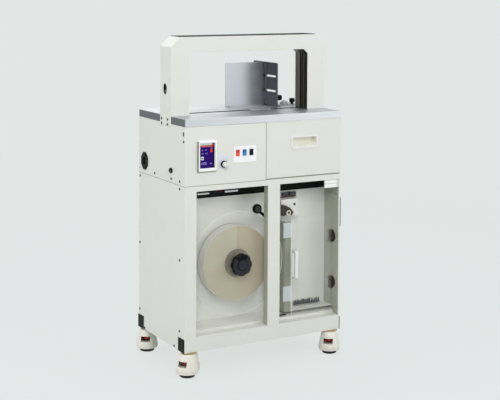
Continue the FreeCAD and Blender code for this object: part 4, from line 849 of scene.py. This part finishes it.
reelAxis = axisOf("reel_front_flange")
rollerAxis = axisOf("dancer_roller")
caps = {"knob": 12, "roller": 8}
dress("reel_hub", [clearFlange], 0.6)
dress("reel_front_flange", [clearFlange, glowingClearEdge], 0.5,
      choose=lambda face: abs(face.normal.y) < 0.5)
dress("reel_knob", [blackGloss, greyPlastic], 1.6, 3,
      choose=lambda face: face.normal.y < -0.9 and nearAxis(face, reelAxis, caps["knob"]))
dress("band_roll", [bandFace, bandSide], 0.4, choose=lambda face: abs(face.normal.y) < 0.5)
dress("tension_arm", [blackPlastic], 0.8)
dress("dancer_roller", [blackPlastic, capGrey], 0.6,
      choose=lambda face: face.normal.y < -0.5 and nearAxis(face, rollerAxis, caps["roller"]))

core = {"bore": 26, "radius": 50.0, "deep": 0.8}


def makeCoreEnd():
    # The grey-brown end of the hub's core, seen through the clear front flange
    back = corners("band_roll")[0].y
    bore, radius, front = core["bore"], core["radius"], back - core["deep"]
    ring = [(bore, back), (radius, back), (radius, front), (bore, front), (bore, back)]
    bm = bmesh.new()
    addLathe(bm, "y", reelAxis, ring, 72)
    finishPiece("hub_core_end", bm, [coreGrey], body="reel")


makeCoreEnd()
rollEdge = {"start": 0.2, "end": 1.6, "proud": 0.35, "sunk": 0.3}


def makeRollEdges():
    # The roll's two rims: a bright ring at the front and a brown ring at the rear
    low, high = corners("band_roll")
    radius = (high.x - low.x) / 2
    inner, outer = radius - rollEdge["sunk"], radius + rollEdge["proud"]
    bm = bmesh.new()
    for start, end, finish in ((low.y + rollEdge["start"], low.y + rollEdge["end"], 0),
                               (high.y - rollEdge["end"], high.y - rollEdge["start"], 1)):
        addLathe(bm, "y", reelAxis, [(inner, start), (outer, start), (outer, end), (inner, end)], 96, finish)
    finishPiece("roll_rims", bm, [bandSide, plainBrown], body="reel")


makeRollEdges()
flangeLines = {"half": 0.45, "sunk": 0.1, "deep": 0.3, "from": 50.0, "to": 126.0, "count": 4}


def makeFlangeLines():
    # Milled lines on the clear front flange, which the roll's face shows through
    y = corners("reel_front_flange")[1].y
    cx, cz = reelAxis
    start, end, half = flangeLines["from"], flangeLines["to"], flangeLines["half"]
    bm = bmesh.new()
    for i in range(flangeLines["count"]):
        turn = 2 * math.pi * i / flangeLines["count"]
        c, s = math.cos(turn), math.sin(turn)
        outline = [(cx + reach * c - side * s, cz + reach * s + side * c)
                   for reach, side in ((start, -half), (end, -half), (end, half), (start, half))]
        addPrism(bm, "y", outline, y - flangeLines["sunk"], y + flangeLines["deep"])
    finishPiece("flange_lines", bm, [clearFlange], body="reel")


makeFlangeLines()
print("reel ready")

# Band pool, its door and the feed roller

rims = {"catch": 4.9, "door": 2, "bracket": 8}


def poolFinish(face):
    # Clear bluish catches in front, a floor in the brighter coat of painted light, and walls and a lip in
    # olive painted shade
    if middleOf(face).y < corners("pool_box")[0].y + rims["catch"]:
        return 2
    if face.normal.z > 0.7:
        return 1
    return 0 if abs(face.normal.x) > 0.5 else 3


dress("pool_box", [paintedShadeOlive, paintedLightCoat, clearBlue, paintedShadeLip], 0.5, choose=poolFinish)
doorEdge = corners("pool_door")[0].x + rims["door"]
bracketFront = corners("feed_bracket")[0].y + rims["bracket"]
dress("pool_door", [clearSheet, glowingClearEdge], 0.4,
      choose=lambda face: face.normal.x < -0.5 and middleOf(face).x < doorEdge)
dress("door_grip", [whitePlastic], 1.5, 3)
dress("hinge_plates", [hingeBrown], 0.4)
dress("hinge_leaves", [clearLeaf], 0.4)
dress("feed_bracket", [cream, blackPlastic], 0.6, choose=lambda face: middleOf(face).y < bracketFront)
dress("feed_roller", [brassPale], 0.4)

guide = {"outline": ((100.0, 506.5), (100.0, 543.0), (118.6, 542.3), (135.5, 532.0), (148.0, 517.4),
                     (141.3, 506.4)),
         "gap": 11.4, "from": -50, "to": 215, "steps": 24, "left": 14, "low": 506.5, "y": (-138.0, -129.05)}
fittings = (((100.2, -137.0, 545.0), (112.0, -129.05, 546.6), 0),
            ((104.0, -139.0, 507.5), (105.6, -138.05, 541.0), 0),
            ((121.0, -98.0, 564.2), (184.0, -89.1, 567.6), 0),
            ((126.0, -99.0, 570.0), (182.0, -89.1, 583.0), 1))
nut = {"centre": (160.0, 577.5), "profile": ((0, -89.2), (7.5, -89.2), (7.5, -103), (6.5, -104), (0, -104))}
bracketScrew = {"centre": (157.0, 543.8), "seat": -129.0, "top": -131.4, "radius": 4.8}


def makeFeedGuide():
    # A dark guide block round the feed roller
    cx, cz = axisOf("feed_roller")
    gap, start, sweep = guide["gap"], guide["from"], guide["to"] - guide["from"]
    notch = []
    for i in range(guide["steps"] + 1):
        angle = math.radians(start + sweep * i / guide["steps"])
        notch.append((cx + gap * math.cos(angle), cz + gap * math.sin(angle)))
    bm = bmesh.new()
    addPrism(bm, "y", [*guide["outline"], *notch, (cx - guide["left"], guide["low"])], *guide["y"])
    finishPiece("feed_guide", bm, [bronze], 0.5)


def makeFeedFittings():
    # The bent brown guide plate, a blackened bar with its nut, and the bracket's screw
    bm = bmesh.new()
    for low, high, finish in fittings:
        addBox(bm, low, high, finish)
    addLathe(bm, "y", nut["centre"], nut["profile"], 6, 1)
    finishPiece("feed_fittings", bm, [plainBrown, steelDark], 0.3)
    bm = bmesh.new()
    addScrew(bm, "y", **bracketScrew)
    finishPiece("feed_bracket_screw", bm, [darkZinc, darkCoat], 0.2)


makeFeedGuide()
makeFeedFittings()
bristles = {"count": 110, "x": (176.0, 288.0), "y": (-97.5, -92.0), "floor": 166.0, "tall": (7.0, 16.0),
            "strip": 3, "root": 2.5, "inset": 1, "lean": 2.5, "foot": 1.6, "tip": 0.5, "thin": 0.4}


def makeBrush():
    # A low brush on the pool's floor that keeps the loops of band off the plate
    dice = random.Random(7)
    left, right = bristles["x"]
    low, high = bristles["y"]
    short, long = bristles["tall"]
    floor, inset, most = bristles["floor"], bristles["inset"], bristles["lean"]
    foot, wide, tip, thin = floor + bristles["root"], bristles["foot"], bristles["tip"], bristles["thin"]
    bm = bmesh.new()
    addBox(bm, (left, low, floor), (right, high, floor + bristles["strip"]))
    for i in range(bristles["count"]):
        x = left + inset + (right - left - 2 * inset) * dice.random()
        y = low + (high - low) * dice.random()
        tall = short + (long - short) * dice.random()
        lean = dice.uniform(-most, most)
        outline = ((x - wide, foot), (x + wide, foot), (x + tip + lean, foot + tall),
                   (x - tip + lean, foot + tall))
        addPrism(bm, "y", outline, y - thin, y + thin)
    finishPiece("pool_brush", bm, [darkCoat])


makeBrush()
print("pool ready")

# Screen: a lit display with plain bars and blocks behind its glass

display = {"x": (7.6, 64.4), "z": (13.6, 98.4), "recess": 1.5, "glass": 0.7, "step": 0.02}
blocks = ((0, 0.86, 0, 1, 0), (0.86, 0.96, 0, 1, 1), (0.96, 1, 0, 1, 2), (0, 0.8, 0.925, 1, 2),
          (0, 0.1, 0.85, 0.92, 3), (0.1, 0.78, 0.85, 0.92, 5), (0.78, 0.88, 0.86, 0.97, 3),
          (0.68, 0.82, 0.63, 0.77, 3), (0.7, 0.81, 0.78, 0.83, 4), (0.07, 0.2, 0.7, 0.745, 4),
          (0.31, 0.46, 0.71, 0.75, 4), (0.08, 0.24, 0.565, 0.61, 4), (0.34, 0.5, 0.57, 0.615, 4),
          (0.02, 0.24, 0.33, 0.47, 2), (0.06, 0.2, 0.38, 0.41, 0), (0.04, 0.12, 0.14, 0.23, 4),
          (0.15, 0.44, 0.13, 0.25, 4), (0.64, 0.8, 0.15, 0.2, 4))
glows = [screenGlass, screenDark, screenPale, screenRed, screenHaze, screenRose]


def makeDisplay():
    corner = corners("touch_screen")[0]
    left, low = corner.x + display["x"][0], corner.z + display["z"][0]
    wide, tall = (display[way][1] - display[way][0] for way in "xz")
    back = corner.y + display["recess"]
    bm = bmesh.new()
    for k, (u0, u1, v0, v1, finish) in enumerate(blocks):
        rise = display["glass"] + (display["step"] * k if k > 1 else 0)
        addBox(bm, (left + wide * u0, back - rise, low + tall * v0),
               (left + wide * u1, back, low + tall * v1), finish)
    finishPiece("screen_display", bm, glows)


# The bezel's left and lower sides get the darker olive as painted shade
dress("touch_screen", [whiteFilm, paintedShadeSeam], 1.6, 3,
      choose=lambda face: face.normal.x < -0.7 or face.normal.z < -0.7)
makeDisplay()

# Speed knob on its plate

knobPlate = {"half": 16.0, "low": -16.5, "high": 29.5, "thick": 0.6, "corner": 7.0}
ticks = {"count": 11, "from": 225, "sweep": 270, "near": 12.9, "far": 15.0, "half": 0.3, "sunk": 0.1,
         "proud": 0.05}
knob = {"gap": 0.4, "stem": 3, "ribs": 24, "depth": 0.03, "seat": (8.9, 7.5),
        "skirt": ((3, 0), (11.4, 0), (11.9, 1), (11.6, 6.5), (10.2, 7.6), (8.9, 7.6)),
        "cap": ((8.8, 1.4), (8.2, 0.5), (7.4, 0.05), (0, 0.05)),
        "line": ((-0.5, 0, 2), (0.5, 0.3, 7.6))}


def makeKnob():
    low, high = corners("control_knob")
    cx, cz = axisOf("control_knob")
    panel = corners("control_panel")[0].y
    half, face = knobPlate["half"], panel - knobPlate["thick"]
    bm = bmesh.new()
    addPrism(bm, "y", roundedOutline((cx - half, cz + knobPlate["low"]), (cx + half, cz + knobPlate["high"]),
                                     knobPlate["corner"]), face, panel)
    near, far, thin = ticks["near"], ticks["far"], ticks["half"]
    for i in range(ticks["count"]):
        angle = math.radians(ticks["from"] - ticks["sweep"] * i / (ticks["count"] - 1))
        c, s = math.cos(angle), math.sin(angle)
        outline = [(cx + reach * c + side * s, cz + reach * s - side * c)
                   for reach, side in ((near, thin), (near, -thin), (far, -thin), (far, thin))]
        addPrism(bm, "y", outline, face - ticks["proud"], face + ticks["sunk"], 1)
    finishPiece("knob_plate", bm, [lavenderFilm, darkCoat])
    bm = bmesh.new()
    front, back = low.y, face - knob["gap"]
    radius, out = knob["seat"]
    skirt = [(0, high.y), (knob["stem"], high.y)] + [(reach, back - rise) for reach, rise in knob["skirt"]]
    cap = [(radius, back - out)] + [(reach, front + sunk) for reach, sunk in knob["cap"]]
    addLathe(bm, "y", (cx, cz), skirt, knob["ribs"] * 6, 0, knob["ribs"], knob["depth"])
    addLathe(bm, "y", (cx, cz), cap, 48, 1)
    addBox(bm, *((cx + x, front + y, cz + z) for x, y, z in knob["line"]))
    finishPiece("control_knob_dressed", bm, [blackPlastic, silverCap], stands=("control_knob",), body="dial")


makeKnob()

# Three rocker switches on a white plate

switchPlate = {"low": (-126.0, 721.5), "high": (-36.5, 778.0), "thick": 0.7, "corner": 3.0, "gap": 0.4}
rocker = {"dip": 1.4, "back": 0.8, "inset": 1, "edge": 1.5, "foot": 0.6, "brow": 0.2, "head": 0.9}
# Each switch's plastic, and a darker copy for the rocker's upper half and body as painted shade
switches = (("red", redPlastic, redPaintedShade), ("blue", bluePlastic, bluePaintedShade),
            ("black", blackPlastic, blackGloss))


def addPlate(bm, outline, holes, near, far):
    # A plate across y from near to far, with an opening for each outline in holes
    sides = []
    for ring in (outline, *holes):
        spots = [bm.verts.new(mm(a, near, b)) for a, b in ring]
        sides += [bm.edges.new((spots[i - 1], spots[i])) for i in range(len(spots))]
    filled = bmesh.ops.triangle_fill(bm, use_beauty=True, edges=sides)["geom"]
    faces = [piece for piece in filled if isinstance(piece, bmesh.types.BMFace)]
    grown = bmesh.ops.extrude_face_region(bm, geom=faces, use_keep_orig=True)["geom"]
    moved = [piece for piece in grown if isinstance(piece, bmesh.types.BMVert)]
    bmesh.ops.translate(bm, verts=moved, vec=mm(0, far - near, 0))


def makeSwitches():
    panel = corners("control_panel")[0].y
    bm = bmesh.new()
    gap, holes = switchPlate["gap"], []
    for name, bright, deep in switches:
        low, high = corners(name + "_button")
        holes.append([(low.x - gap, low.z - gap), (high.x + gap, low.z - gap),
                      (high.x + gap, high.z + gap), (low.x - gap, high.z + gap)])
    addPlate(bm, roundedOutline(switchPlate["low"], switchPlate["high"], switchPlate["corner"]),
             holes, panel - switchPlate["thick"], panel)
    finishPiece("switch_plate", bm, [whiteFilm], 0.2)
    back, inset, edge = panel - rocker["back"], rocker["inset"], rocker["edge"]
    for name, bright, deep in switches:
        low, high = corners(name + "_button")
        middle, dip = (low.z + high.z) / 2, low.y + rocker["dip"]
        bm = bmesh.new()
        lower = [(low.y + rocker["foot"], low.z), (low.y, low.z + edge), (dip, middle), (back, middle),
                 (back, low.z)]
        upper = [(dip, middle), (low.y + rocker["brow"], high.z - edge), (low.y + rocker["head"], high.z),
                 (back, high.z), (back, middle)]
        addPrism(bm, "x", lower, low.x, high.x)
        addPrism(bm, "x", upper, low.x, high.x, 1)
        addBox(bm, (low.x + inset, back, low.z + inset), (high.x - inset, high.y, high.z - inset), 1)
        finishPiece(name + "_button_dressed", bm, [bright, deep], 0.4, stands=(name + "_button",),
                    body=name + "_push")


makeSwitches()
print("controls ready")

# Thumb knobs, the stop bar's dome, the mains inlet and the foot switch socket

thumb = {"long": 22.0, "stem": 2.9, "lobes": 7, "depth": 0.16,
         "skirt": ((5.5, 0), (5.8, 5.4), (9.6, 6.4), (10.9, 8.5)),
         "crown": ((10.9, 3.5), (9.8, 1.2), (7.0, 0.3), (0, 0))}


def makeThumb(node, body, along):
    low, high = corners(node)
    k = "xyz".index(along)
    middle = (low + high) / 2
    centre = [middle[i] for i in range(3) if i != k]
    start, end, stem, lobes = low[k], high[k], thumb["stem"], thumb["lobes"]
    seat = end - thumb["long"]
    profile = [(0, start), (stem, start), (stem, seat)]
    profile += [(radius, seat + rise) for radius, rise in thumb["skirt"]]
    profile += [(radius, end - drop) for radius, drop in thumb["crown"]]
    bm = bmesh.new()
    addLathe(bm, along, centre, profile, lobes * 12, 0, lobes, thumb["depth"])
    finishPiece(node + "_dressed", bm, [blackGloss], stands=(node,), body=body)


makeThumb("bar_thumb_knob", "bar_clamp", "z")
makeThumb("side_thumb_knob", "side_clamp", "x")
dress("stop_bar", [domeGrey], 0.5, sharp=40)
dress("foot_switch_socket", [brass, blackPlastic], 0.4, choose=lambda face: abs(face.normal.x) < 0.9)
dress("power_inlet", [blackPlastic], 0.8)

inlet = {"pins": ((-5.5, 0), (5.5, 0), (0, 5.0)), "half": (1.0, 2.0), "from": 3.5, "to": 15.5,
         "covers": (((-11, 15), (11, 25), 2, 1.6), ((-10, -25), (10, -16), 1.5, 0.8)), "sunk": 0.2,
         "screws": (-20, 20), "head": 1.2, "radius": 3.0}


def makeInletFittings():
    # Three flat pins in the socket, a dark rocker above it and the fuse drawer below it
    low, high = corners("power_inlet")
    x, cy, cz = low.x, (low.y + high.y) / 2, (low.z + high.z) / 2
    a, b = inlet["half"]
    bm = bmesh.new()
    for dz, dy in inlet["pins"]:
        addBox(bm, (x + inlet["from"], cy + dy - a, cz + dz - b), (x + inlet["to"], cy + dy + a, cz + dz + b))
    for (left, under), (right, over), radius, proud in inlet["covers"]:
        outline = roundedOutline((cy + left, cz + under), (cy + right, cz + over), radius)
        addPrism(bm, "x", outline, x - proud, x + inlet["sunk"], 1)
    for dy in inlet["screws"]:
        addScrew(bm, "x", (cy + dy, cz), x, x - inlet["head"], inlet["radius"])
    finishPiece("inlet_fittings", bm, [steelDark, blackGloss], 0.3)


makeInletFittings()

# Casters

dialFoot = 30.0
dress("caster_mounts", [brass], 0.6)
for corner in ("front_left", "front_right", "rear_left", "rear_right"):
    dress(corner + "_caster", [creamPlastic], 0.8)
    dress(corner + "_wheel", [wheelNylon], 0.6)
    dress(corner + "_pad", [rubber, dialRed], 0.5, choose=lambda face: middleOf(face).z > dialFoot)
print("pieces ready")
